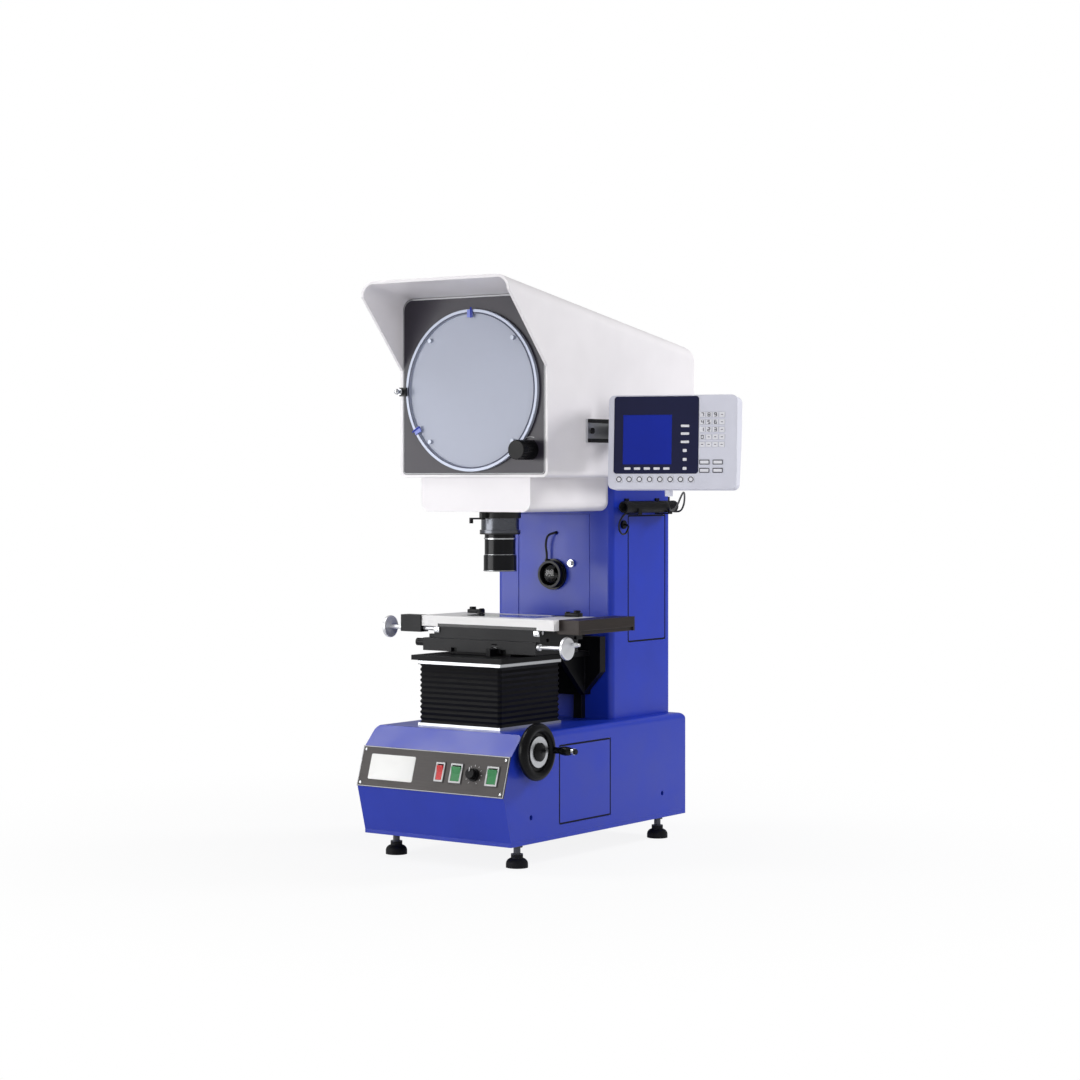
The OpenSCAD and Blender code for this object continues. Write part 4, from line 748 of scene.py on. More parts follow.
    def set_out(
        self, name: str, seed: bpy.types.Object, places: list[tuple[Vector, Point]],
        material: bpy.types.Material,
    ) -> bpy.types.Object:
        """Sets copies of a small piece at places and returns them as one mesh.

        Args:
            name: Name of the piece.
            seed: The small piece; it is removed afterwards.
            places: Point and turn, in Euler angles, of each copy.
            material: The finish.

        Returns:
            The finished object.
        """
        points = bpy.data.meshes.new(name + ".points")
        points.from_pydata([p for p, _ in places], [], [])
        turns = points.attributes.new("turn", "FLOAT_VECTOR", "POINT")
        turns.data.foreach_set("vector", [v for _, turn in places for v in turn])
        piece = self.run(name, self.scatter, points, {"Piece": seed, "Material": material})
        bpy.data.objects.remove(seed)
        return piece


# Studio


@dataclass(frozen=True)
class Lamp:
    """A rectangular soft lamp that faces the machine.

    Attributes:
        name: Name of the lamp.
        at: Where it hangs.
        size: Width and height.
        power: Power in watts.
        mirrored: Whether glossy surfaces show it.
    """

    name: str
    at: Point
    size: Flat
    power: float
    mirrored: bool = True

    def hang(self) -> None:
        """Hangs the lamp in the scene."""
        data = bpy.data.lights.new(self.name, "AREA")
        data.shape = "RECTANGLE"
        data.size, data.size_y = self.size
        data.energy = self.power
        lamp = bpy.data.objects.new(self.name, data)
        lamp.location = self.at
        lamp.rotation_euler = (Vector(LAMP_AIM) - Vector(self.at)).to_track_quat("-Z", "Y").to_euler()
        lamp.visible_glossy = self.mirrored
        bpy.context.scene.collection.objects.link(lamp)


@dataclass
class Studio:
    """Floor, soft light, white background and the camera."""

    camera_at: Point = (3.0091, -4.3182, 0.766)
    camera_turn: float = 37.0
    lens: float = 83.6
    sensor: float = 36.0
    shift: Flat = (0.0958, -0.0556)
    sight: float = 50.0
    lamps: tuple[Lamp, ...] = (
        Lamp("key_light", (1.35, 2.1, 1.8), (0.7, 0.7), 58.0, mirrored=False),
        Lamp("side_light", (2.6, -1.8, 1.5), (1.6, 1.6), 33.0, mirrored=False),
        Lamp("front_light", (-2.0, -2.8, 0.75), (2.6, 1.3), 47.0),
        Lamp("top_light", (-1.5, -0.9, 2.5), (1.0, 1.0), 26.0),
    )
    sky: float = 0.22
    floor_radius: float = 7.0
    floor_depth: float = 0.002
    floor_fade: Flat = (0.35, 1.6)
    floor_white: Flat = (0.88, 1.0)

    def build(self) -> None:
        """Builds the camera, the light and the floor."""
        self._camera()
        self._world()
        for lamp in self.lamps:
            lamp.hang()
        self._floor()
        bpy.context.scene.view_settings.view_transform = "Standard"

    def _camera(self) -> None:
        """Sets the camera where the picture was taken from."""
        data = bpy.data.cameras.new("camera")
        data.lens = self.lens
        data.sensor_width = self.sensor
        data.shift_x, data.shift_y = self.shift
        data.clip_end = self.sight
        camera = bpy.data.objects.new("camera", data)
        camera.location = self.camera_at
        camera.rotation_euler = (QUARTER, 0, math.radians(self.camera_turn))
        bpy.context.scene.collection.objects.link(camera)
        bpy.context.scene.camera = camera

    @staticmethod
    def _seen(net: Net) -> bpy.types.NodeSocket:
        """Returns a socket that is 1 for camera and transmission rays and a part of that for glossy rays."""
        ray = net.add("ShaderNodeLightPath").outputs
        clear = net.math("MAXIMUM", ray["Is Camera Ray"], ray["Is Transmission Ray"])
        return net.math("MAXIMUM", clear, net.math("MULTIPLY", ray["Is Glossy Ray"], GLOSSY_SHARE))

    def _world(self) -> None:
        """Makes a background that is white to the eye and gives a little even light."""
        world = bpy.data.worlds.new("studio")
        bpy.context.scene.world = world
        world.use_nodes = True
        net, nodes = Net(world.node_tree), world.node_tree.nodes
        light = nodes["Background"]
        net.fill(light, {"Color": WHITE, "Strength": self.sky})
        white = net.add("ShaderNodeBackground", {"Color": WHITE, "Strength": 1.0})
        mix = net.add("ShaderNodeMixShader", {
            "Fac": self._seen(net), 1: light.outputs["Background"], 2: white.outputs["Background"],
        })
        net.fill(nodes["World Output"], {"Surface": mix.outputs["Shader"]})

    def _floor(self) -> None:
        """Lays a pale floor that keeps the machine's shadow and fades into the background."""
        reach, depth = self.floor_radius, self.floor_depth
        shape = Shape().turned([(0.0, -depth), (reach, -depth), (reach, 0.0), (0.0, 0.0)], 64)
        material, net, shader = new_material("studio_floor")
        net.fill(shader, {"Base Color": paint(236, 236, 238), "Roughness": 0.6, "Specular IOR Level": 0.1})
        white = net.add("ShaderNodeEmission", {"Color": WHITE})
        away = net.vector("LENGTH", net.add("ShaderNodeTexCoord").outputs["Object"], result="Value")
        fade = net.ramp(away, self.floor_fade, self.floor_white, interpolation_type="SMOOTHSTEP")
        mix = net.add("ShaderNodeMixShader", {
            "Fac": net.math("MULTIPLY", fade, self._seen(net)), 1: shader.outputs["BSDF"],
            2: white.outputs["Emission"],
        })
        net.fill(material.node_tree.nodes["Material Output"], {"Surface": mix.outputs["Shader"]})
        shape.finish("studio_floor", material)
        LOG.info("studio_floor")


# Sub-assemblies


@dataclass
class Assembly:
    """What every sub-assembly has: the palette, the node trees, the loaded nodes and their looks."""

    palette: Palette
    trees: NodeKit
    nodes: dict[str, bpy.types.Object]
    looks: Looks = ()

    def dress(self) -> None:
        """Gives each node of the sub-assembly its finish."""
        for finish, names in self.looks:
            for name in names:
                for slot in self.nodes[name].material_slots:
                    slot.material = self.palette.get(finish)
                LOG.info("%s: %s", name, finish)

    @staticmethod
    def ride(piece: bpy.types.Object, body: str, slot: str) -> None:
        """Makes a new piece move with a body."""
        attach(piece, body)
        LOG.info("%s rides on %s", piece.name, body)

    def put(self, shape: Shape, name: str, finish: str, body: str, slot: str, smooth: float = 30.0) -> None:
        """Makes a shape a piece that moves with a body.

        Args:
            shape: The shape.
            name: Name of the piece.
            finish: Its finish in the palette.
            body: Body that it moves with.
            slot: Not used.
            smooth: Edges flatter than this angle are shaded smooth, in degrees.
        """
        self.ride(shape.finish(name, self.palette.get(finish), smooth), body, slot)


@dataclass
class Leads(Assembly):
    """The readout's lead with its wound hank, and the surface lamp's short cable."""

    lead_radius: float = 2.0 * MM
    hank_radius: float = 11.0
    hank_at: Flat = (166.0, 709.0)
    hank_rear: float = 305.0
    hank_front: float = 104.0
    hank_turns: float = 45.75
    turn_points: int = 16
    still_at: Point = (0.215, 0.15, 0.7)
    swung_at: Point = (0.335, 0.15, 0.7)
    lead_sides: int = 8
    cable_sides: int = 12
    stretch_points: int = 8
    cable_radius: float = 2.5 * MM
    lead_route: tuple[Point, ...] = (
        (343.49, -3.56, 732.2), (343.49, -3.56, 721.0), (343.0, -2.1, 713.6), (341.2, 3.5, 707.8),
        (336.0, 18.5, 704.6), (325.0, 48.0, 706.5), (308.0, 88.0, 716.0), (284.0, 140.0, 731.0),
        (258.0, 192.0, 739.5), (230.0, 243.0, 735.0), (206.0, 281.0, 718.0), (192.0, 296.0, 705.0),
        (182.0, 302.4, 699.2), (172.0, 304.6, 697.9),
    )
    loop_route: tuple[Point, ...] = (
        (177.1, 102.0, 703.4), (176.9, 94.5, 695.6), (176.2, 82.0, 687.6), (174.8, 73.5, 674.0),
        (172.8, 78.5, 661.0), (170.6, 92.0, 653.2), (168.2, 107.5, 653.6), (166.0, 119.0, 660.0),
        (163.7, 126.3, 667.2), (159.3, 129.6, 670.6), (152.2, 131.2, 672.2),
    )
    cable_route: tuple[Point, ...] = (
        (-12.0, 80.0, 598.0), (-12.0, 80.0, 610.0), (-13.0, 78.0, 628.0), (-7.0, 77.0, 647.0),
        (6.0, 84.0, 654.0), (6.0, 97.0, 654.0),
    )

    def build(self) -> None:
        """Builds both cords."""
        path = self._lead_path()
        rubber = self.palette.get("cord_black")
        tube = Shape().tube(path, self.lead_radius, self.lead_sides)
        lead = tube.finish("readout_cord", rubber, ROUND_SMOOTH)
        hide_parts("readout_lead", "lead_hank")
        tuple(self.still_at)
        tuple(self.swung_at)
        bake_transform(lead)
        tuple(path[0])
        path_length(path)
        [tuple(p) for p in path]
        LOG.info("readout_cord %.2f m", path_length(path))
        short = smooth_path(list(self.cable_route), self.stretch_points)
        tube = Shape().tube(short, self.cable_radius, self.cable_sides)
        cable = tube.finish("lamp_cord", rubber, ROUND_SMOOTH)
        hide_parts("lamp_cable")
        self.ride(cable, "base", "black_rubber")
        tuple(short[0])
        path_length(short)
        [tuple(p) for p in short]

    def _lead_path(self) -> list[Vector]:
        """Returns the lead's centre line: the plug, the wound hank and the loop to the gland."""
        path = smooth_path(list(self.lead_route), self.stretch_points)
        count = round(self.hank_turns * self.turn_points)
        for i in range(count + 1):
            angle = math.radians(-90 - 360 * self.hank_turns * i / count)
            path.append(Vector((
                self.hank_at[0] + self.hank_radius * math.cos(angle),
                self.hank_rear + (self.hank_front - self.hank_rear) * i / count,
                self.hank_at[1] + self.hank_radius * math.sin(angle),
            )) * MM)
        return path + smooth_path(list(self.loop_route), self.stretch_points)


@dataclass
class BaseHousing(Assembly):
    """The base and column: shells, doors, feet, inlet, lamps and the lift drive inside."""

    looks: Looks = (
        ("blue_enamel", ("base_shell", "base_floor", "base_door")),
        ("blue_enamel", ("column_shell", "column_cover", "column_door")),
        ("foot_rubber", ("levelling_feet",)),
        ("black_plastic", ("power_inlet", "handwheel", "lead_fittings")),
        # the lift rack and rails are steel; their black metal finish paints the shade that falls on them
        # under the knee
        ("black_metal", ("handwheel_boss", "lift_rack", "lift_rails")),
        ("ground_steel", ("handwheel_shaft", "hinge_pins", "bellows_frame")),
        ("grip_black", ("handwheel_grip",)),
        ("gear_bronze", ("lift_gear",)),
        ("cast_frame", ("gear_frame",)),
        ("lamp_metal", ("lamp_house",)),
        ("lamp_black", ("surface_lamp",)),
        ("lens_glass", ("lenses",)),
        ("front_mirror", ("mirrors",)),
    )
    # width, corner, sink and rise of the dark frames that paint the shade in the seams round the doors and
    # the cover
    seam_shade_width: float = 0.0030
    seam_shade_corner: float = 0.004
    seam_shade_sink: float = 0.0010
    seam_shade_rise: float = 0.0002
    cover_tongue: float = 0.008

    def build(self) -> None:
        """Dresses the nodes and frames the doors and the cover with dark painted seam shade."""
        self.dress()
        for door in ("base_door", "column_door"):
            low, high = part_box(door)
            self._paint_seam_shade(f"{door}_seal", door, (low.y, low.z), (high.y, high.z),
                         Matrix(((0, 0, 1, high.x), (1, 0, 0, 0), (0, 1, 0, 0), (0, 0, 0, 1))))
        low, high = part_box("column_cover")
        self._paint_seam_shade("cover_seam", "base", (low.x, low.z + self.cover_tongue), (high.x, high.z),
                     Matrix(((1, 0, 0, 0), (0, 0, -1, low.y), (0, 1, 0, 0), (0, 0, 0, 1))))

    def _paint_seam_shade(self, name: str, body: str, low: Flat, high: Flat, place: Matrix) -> None:
        """Adds a dark frame round a door or a cover: painted shade in the seam round it.

        Args:
            name: Name of the frame.
            body: Body that it rides on.
            low: Lower corner in the panel's plane.
            high: Higher corner in the panel's plane.
            place: Turns the panel's plane upright, with its outer face at zero.
        """
        wide, tall = high[0] - low[0], high[1] - low[1]
        middle = ((low[0] + high[0]) / 2, (low[1] + high[1]) / 2)
        edge = self.seam_shade_width
        outer = rounded(wide, tall, self.seam_shade_corner, middle)
        inner = rounded(wide - 2 * edge, tall - 2 * edge, self.seam_shade_corner - edge / 2, middle)
        shape = Shape(place).frame(outer, inner, -self.seam_shade_sink, self.seam_shade_rise)
        self.put(shape, name, "seam_shade_black", body, "black_rubber")


@dataclass
class Bellows(Assembly):
    """The folded bellows between the base and the knee."""

    width: float = 0.204
    depth: float = 0.214
    corner: float = 0.006
    low: float = 0.271
    high: float = 0.3902
    middle_y: float = -0.143
    folds: float = 11.0
    fold_depth: float = 0.0026
    wall: float = 0.0008
    round_points: int = 169
    fold_rows: int = 4
    seam_reach: float = 1e-5

    def build(self) -> None:
        """Folds the sheet and gives it a wall."""
        piece = self.trees.run("bellows_folds", self.trees.bellows, bpy.data.meshes.new("start"), {
            "Width": self.width, "Depth": self.depth, "Corner": self.corner, "Low": self.low,
            "High": self.high, "Middle Y": self.middle_y, "Folds": self.folds, "Fold Depth": self.fold_depth,
            "Round": self.round_points, "Up": int(self.folds) * self.fold_rows + 1,
            "Material": self.palette.get("bellows_black"),
        })
        mesh = bmesh.new()
        mesh.from_mesh(piece.data)
        bmesh.ops.remove_doubles(mesh, verts=mesh.verts[:], dist=self.seam_reach)
        bmesh.ops.recalc_face_normals(mesh, faces=mesh.faces[:])
        side = mesh.faces[0]
        inward = Vector((0, self.middle_y, side.calc_center_median().z)) - side.calc_center_median()
        if side.normal.dot(inward) > 0:
            bmesh.ops.reverse_faces(mesh, faces=mesh.faces[:])
        bmesh.ops.solidify(mesh, geom=mesh.faces[:], thickness=self.wall)
        mesh.to_mesh(piece.data)
        mesh.free()
        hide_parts("bellows")
        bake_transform(piece)
        LOG.info("bellows_folds between base and knee")


@dataclass
class ControlPanel(Assembly):
    """The sloping panel with its bezels, blank plate, screws and dial marks.

    An outline is a width, a height and the radius of its corners.
    """

    looks: Looks = (
        ("brushed_panel", ("control_panel",)),
        ("red_switch", ("power_rocker",)),
        ("green_switch", ("contour_rocker", "surface_rocker")),
        ("black_plastic", ("dimmer_knob",)),
    )
    at: Point = (0.0, -0.3375, 0.1855)
    lean: float = 17.56
    thickness: float = 0.003
    edge_outer: Point = (0.3630, 0.0820, 0.0016)
    edge_inner: Point = (0.3606, 0.0796, 0.0010)
    edge_sink: float = 0.0002
    edge_rise: float = 0.0003
    switches: tuple[Flat, ...] = ((0.020, 0.015), (0.060, 0.022), (0.148, 0.022))
    rocker_length: float = 0.029
    rocker_room: float = 0.0032
    bezel_more: float = 0.0066
    bezel_corner: float = 0.0015
    bezel_gap: Flat = (0.0003, -0.0001)
    bezel_hole_corner: float = 0.0003
    bezel_top: float = 0.0053
    blank: Point = (0.112, 0.052, 0.003)
    blank_at: Flat = (-0.101, 0.0)
    blank_rise: float = 0.0008
    blank_bevel: float = 0.0003
    screw_at: Flat = (0.174, 0.034)
    screw_radius: float = 0.0032
    screw_height: float = 0.0016
    dimmer_x: float = 0.103
    mark_ring: float = 0.0185
    mark_turns: tuple[int, int, int] = (-150, 180, 30)
    mark_half: Flat = (0.0003, 0.0016)
    mark_rise: float = 0.0002
    line_half: float = 0.0006
    line_reach: Flat = (0.004, 0.0118)
    line_height: Flat = (0.0205, 0.0214)
    line_bevel: float = 0.0001

    def build(self) -> None:
        """Dresses the panel and adds its trim."""
        self.dress()
        place = Matrix.Translation(self.at) @ Matrix.Rotation(math.radians(90 - self.lean), 4, "X")
        self._bezels(place)
        self._plate(place)
        self._screws(place)
        self._dial(place)
        self._edge(place)

    def _edge(self, place: Matrix) -> None:
        """Adds the thin pale line round the panel."""
        shape = Shape(place).frame(rounded(*self.edge_outer), rounded(*self.edge_inner),
                                   self.thickness - self.edge_sink, self.thickness + self.edge_rise)
        self.put(shape, "panel_edge", "border_light", "base", "pale_keys")

    def _bezels(self, place: Matrix) -> None:
        """Adds the pale bezels round the rockers."""
        shape = Shape(place)
        high = self.rocker_length + self.rocker_room
        gap_x, gap_y = self.bezel_gap
        for x, width in self.switches:
            outer = rounded(width + self.bezel_more, high + self.bezel_more, self.bezel_corner, (x, 0))
            inner = rounded(width + gap_x, high + gap_y, self.bezel_hole_corner, (x, 0))
            shape.frame(outer, inner, self.thickness, self.bezel_top)
        self.put(shape, "switch_bezels", "bezel_pale", "base", "pale_keys")

    def _plate(self, place: Matrix) -> None:
        """Adds the blank white plate at the panel's left."""
        shape = Shape(place).plate(rounded(*self.blank, self.blank_at), self.thickness,
                                   self.thickness + self.blank_rise, self.blank_bevel)
        self.put(shape, "blank_plate", "plate_white", "base", "white_enamel")

    def _screws(self, place: Matrix) -> None:
        """Adds the panel's corner screws."""
        turn = tuple(place.to_euler())
        spots = [(x * self.screw_at[0], y * self.screw_at[1]) for x in (-1, 1) for y in (-1, 1)]
        places = [(place @ Vector((x, y, self.thickness)), turn) for x, y in spots]
        seed = screw_head("screw", self.screw_radius, self.screw_height)
        self.ride(self.trees.set_out("panel_screws", seed, places, self.palette.get("bright_steel")),
                  "base", "bright_steel")

    def _dial(self, place: Matrix) -> None:
        """Adds the marks round the dimmer and the line on its knob."""
        places = []
        for turn in range(*self.mark_turns):
            angle = math.radians(turn)
            x, y = self.mark_ring * math.sin(angle), self.mark_ring * math.cos(angle)
            places.append((place @ Vector((self.dimmer_x + x, y, self.thickness)),
                           tuple((place @ Matrix.Rotation(-angle, 4, "Z")).to_euler())))
        wide, tall = self.mark_half
        white = self.palette.get("print_white")
        seed = Shape().block((-wide, -tall, 0), (wide, tall, self.mark_rise)).finish("mark", white)
        self.ride(self.trees.set_out("dimmer_marks", seed, places, white), "base", "pale_keys")
        (near, far), (low, high) = self.line_reach, self.line_height
        line = Shape(place).block((self.dimmer_x - self.line_half, near, low),
                                  (self.dimmer_x + self.line_half, far, high), self.line_bevel)
        self.put(line, "dimmer_line", "print_white", "dimmer_knob", "pale_keys")


def screw_head(name: str, radius: float, height: float) -> bpy.types.Object:
    """Makes a small domed screw head with a round recess, standing on z = 0.

    Args:
        name: Name of the piece.
        radius: Radius of the head.
        height: Height of the head.

    Returns:
        The screw head, to be set out on points.
    """
    shares = ((0, 0), (1, 0), (1, 0.35), (0.86, 0.75), (0.55, 0.96), (0.5, 0.45), (0, 0.4))
    shape = Shape().turned([(r * radius, h * height) for r, h in shares], 12)
    return shape.finish(name, bpy.data.materials.new(name))


@dataclass
class Stage(Assembly):
    """Knee, saddle, table and their cranks.

    A clip's sizes are offsets from the table's middle and top, for the left clip.
    """

    looks: Looks = (
        ("knee_black", ("knee",)),
        ("black_metal", ("saddle", "cross_carriage", "screw_block")),
        ("crank_satin", ("saddle_crank", "saddle_grip", "cross_crank", "cross_grip")),
        ("table_white", ("table",)),
        ("table_glass", ("table_glass",)),
        ("brown_box", ("scale_box",)),
    )
    table_x: float = 0.020
    table_top: float = 0.486
    clip_blocks: tuple[tuple[Point, Point], ...] = (
        ((-0.141, -0.057, -0.0005), (-0.106, -0.041, 0.0080)),
        ((-0.112, -0.055, 0.0078), (-0.106, -0.043, 0.0100)),
    )
    clip_bevel: float = 0.0012
    strip: tuple[Flat, ...] = ((-0.120, -0.054), (-0.094, -0.080), (-0.086, -0.075), (-0.110, -0.047))
    strip_height: Flat = (0.0010, 0.0024)
    strip_bevel: float = 0.0004
    clip_screw_at: Flat = (0.132, -0.049)
    clip_screw: tuple[Flat, ...] = (
        (0.0, 0.0075), (0.0064, 0.0075), (0.0070, 0.0082), (0.0070, 0.0122), (0.0062, 0.0130),
        (0.0030, 0.0130), (0.0026, 0.0118), (0.0, 0.0118),
    )
    rail_inset: float = 0.008
    rail_half: float = 0.007
    rail_out: float = 0.0032
    rail_in: float = 0.002
    rail_drop: Flat = (0.0125, 0.0008)
    rail_bevel: float = 0.001
    pin_drop: float = 0.0066
    rail_pin: tuple[Flat, ...] = (
        (0.0, -0.0006), (0.0030, -0.0006), (0.0030, 0.0010), (0.0022, 0.0016), (0.0, 0.0016),
    )

    def build(self) -> None:
        """Dresses the stage's nodes and adds its clips and rail ends."""
        self.dress()
        self._clips()
        self._rail_ends()

    def _clips(self) -> None:
        """Builds the two low work clips: a bar, its screw and a spring strip that reaches the glass."""
        shape = Shape()
        top = self.table_top
        for side in (-1, 1):
            for low, high in self.clip_blocks:
                ends = sorted((self.table_x - side * low[0], self.table_x - side * high[0]))
                shape.block((ends[0], low[1], top + low[2]), (ends[1], high[1], top + high[2]),
                            self.clip_bevel)
            points = [(self.table_x - side * x, y) for x, y in self.strip]
            shape.plate(points if side < 0 else points[::-1], top + self.strip_height[0],
                        top + self.strip_height[1], self.strip_bevel)
            screw_x, screw_y = self.clip_screw_at
            shape.place = Matrix.Translation((self.table_x + side * screw_x, screw_y, top))
            shape.turned(list(self.clip_screw), 40)
            shape.place = Matrix.Identity(4)
        piece = shape.finish("clip_bars", self.palette.get("black_metal"))
        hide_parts("work_clips")
        self.ride(piece, "table", "black_metal")

    def _rail_ends(self) -> None:
        """Adds the bright ends of the cross rails, under the table's front edge."""
        shape = Shape()
        low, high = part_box("cross_carriage")
        front = low.y - self.rail_out
        for x in (low.x + self.rail_inset, high.x - self.rail_inset):
            shape.block((x - self.rail_half, front, high.z - self.rail_drop[0]),
                        (x + self.rail_half, low.y + self.rail_in, high.z - self.rail_drop[1]),
                        self.rail_bevel)
            pin = Matrix.Translation((x, front, high.z - self.pin_drop))
            shape.place = pin @ Matrix.Rotation(QUARTER, 4, "X")
            shape.turned(list(self.rail_pin), 24)
            shape.place = Matrix.Identity(4)
        self.put(shape, "rail_ends", "bright_steel", "table", "bright_steel")


@dataclass
class Head(Assembly):
    """Head, neck, face plate, screen and projection lens."""

    looks: Looks = (
        ("white_enamel", ("head_shell", "neck")),
        ("face_grey", ("face_plate",)),
        ("ring_silver", ("screen_ring",)),
        ("frosted_glass", ("screen_glass",)),
        ("clip_steel", ("screen_clips",)),
        ("black_plastic", ("screen_knob",)),
        ("bright_steel", ("screen_lock",)),
        ("dark_chrome", ("lens_mount",)),
        ("barrel_black", ("lens_barrel",)),
        ("black_metal", ("lens_lever",)),
    )
    face_y: float = -0.203
    plate_middle: float = 0.9585
    border_outer: Point = (0.3550, 0.3600, 0.0228)
    border_inner: Point = (0.3524, 0.3574, 0.0215)
    border_low_corners: Flat = (0.0065, 0.0052)
    border_height: Flat = (-0.0005, 0.0004)
    bead_half: float = 0.152
    bead_z: float = 1.1384
    bead_out: float = 0.0012
    bead_radius: float = 0.0019
    arc_steps: int = 24
    knob_at: Flat = (0.14296, 0.82591)
    knob_arc: Flat = (0.0268, 0.0260)
    knob_arc_turns: Flat = (70, 110)
    print_rise: float = 0.0002
    lens_y: float = -0.107
    barrel_rings: tuple[Point, ...] = (
        (0.0334, 0.6440, 0.6468), (0.0326, 0.6120, 0.6131), (0.0348, 0.5790, 0.5801),
    )
    barrel_ring_wall: float = 0.0012
    screen_z: float = 0.948
    # radii and height of the dark ring that paints the shadow on the inner edge of the screen's ring
    shadow_radii: Flat = (0.1592, 0.1563)
    shadow_height: Flat = (0.0074, 0.0084)
    index_turns: tuple[int, ...] = (90, 211)
    index_low: Point = (0.1470, -0.0052, 0.0109)
    index_high: Point = (0.1685, -0.0016, 0.0115)
    index_bevel: float = 0.0002

    def build(self) -> None:
        """Dresses the head's nodes and adds its trim."""
        self.dress()
        front = Matrix.Translation((0, self.face_y, 0)) @ Matrix.Rotation(QUARTER, 4, "X")
        screen = front @ Matrix.Translation((0, self.screen_z, 0))
        self._border(front)
        self._bead()
        self._knob_arc(front)
        self._barrel_rings()
        self._index_lines(screen)
        self._ring_shadow(screen)

    def _ring_shadow(self, screen: Matrix) -> None:
        """Adds a dark ring on the inner edge of the screen's ring: a painted shadow of the gap there."""
        outer, inner = (circle(radius, steps=96) for radius in self.shadow_radii)
        shape = Shape(screen).frame(outer, inner, *self.shadow_height)
        self.put(shape, "ring_lip", "ring_shadow_dark", "screen", "black_plastic")

    def _border(self, front: Matrix) -> None:
        """Adds the thin light line round the face plate."""
        outer, inner = (
            rounded(*size, low_radius=low_radius)
            for size, low_radius in zip((self.border_outer, self.border_inner), self.border_low_corners)
        )
        shape = Shape(front @ Matrix.Translation((0, self.plate_middle, 0)))
        shape.frame(outer, inner, *self.border_height)
        self.put(shape, "plate_border", "border_light", "base", "white_enamel")

    def _bead(self) -> None:
        """Adds the light bead where the hood meets the face plate."""
        y = self.face_y - self.bead_out
        left, right = (Vector((side * self.bead_half, y, self.bead_z)) for side in (-1, 1))
        path = [left.lerp(right, k / self.arc_steps) for k in range(self.arc_steps + 1)]
        tube = Shape().tube(path, self.bead_radius, 12)
        self.put(tube, "hood_bead", "border_light", "base", "white_enamel", ROUND_SMOOTH)

    def _knob_arc(self, front: Matrix) -> None:
        """Adds the printed arc over the screen's knob."""
        start, sweep = self.knob_arc_turns
        turns = [math.radians(start + sweep * k / self.arc_steps) for k in range(self.arc_steps + 1)]
        arc = [(self.knob_arc[0], a) for a in turns] + [(self.knob_arc[1], a) for a in reversed(turns)]
        x, z = self.knob_at
        outline = [(x + r * math.cos(a), z + r * math.sin(a)) for r, a in arc]
        shape = Shape(front).plate(outline, 0.0, self.print_rise)
        self.put(shape, "knob_arc", "print_white", "base", "pale_keys")

    def _barrel_rings(self) -> None:
        """Adds the bright rings on the projection lens."""
        shape = Shape(Matrix.Translation((0, self.lens_y, 0)))
        for radius, low, high in self.barrel_rings:
            shape.frame(circle(radius, steps=64), circle(radius - self.barrel_ring_wall, steps=64), low, high)
        self.put(shape, "barrel_rings", "bright_steel", "base", "bright_steel")

    def _index_lines(self, screen: Matrix) -> None:
        """Adds the dark blue index strokes on the two clips of the screen."""
        shape = Shape()
        for turn in self.index_turns:
            shape.place = screen @ Matrix.Rotation(math.radians(turn), 4, "Z")
            shape.block(self.index_low, self.index_high, self.index_bevel)
        self.put(shape, "index_lines", "index_blue", "screen", "blue_enamel")


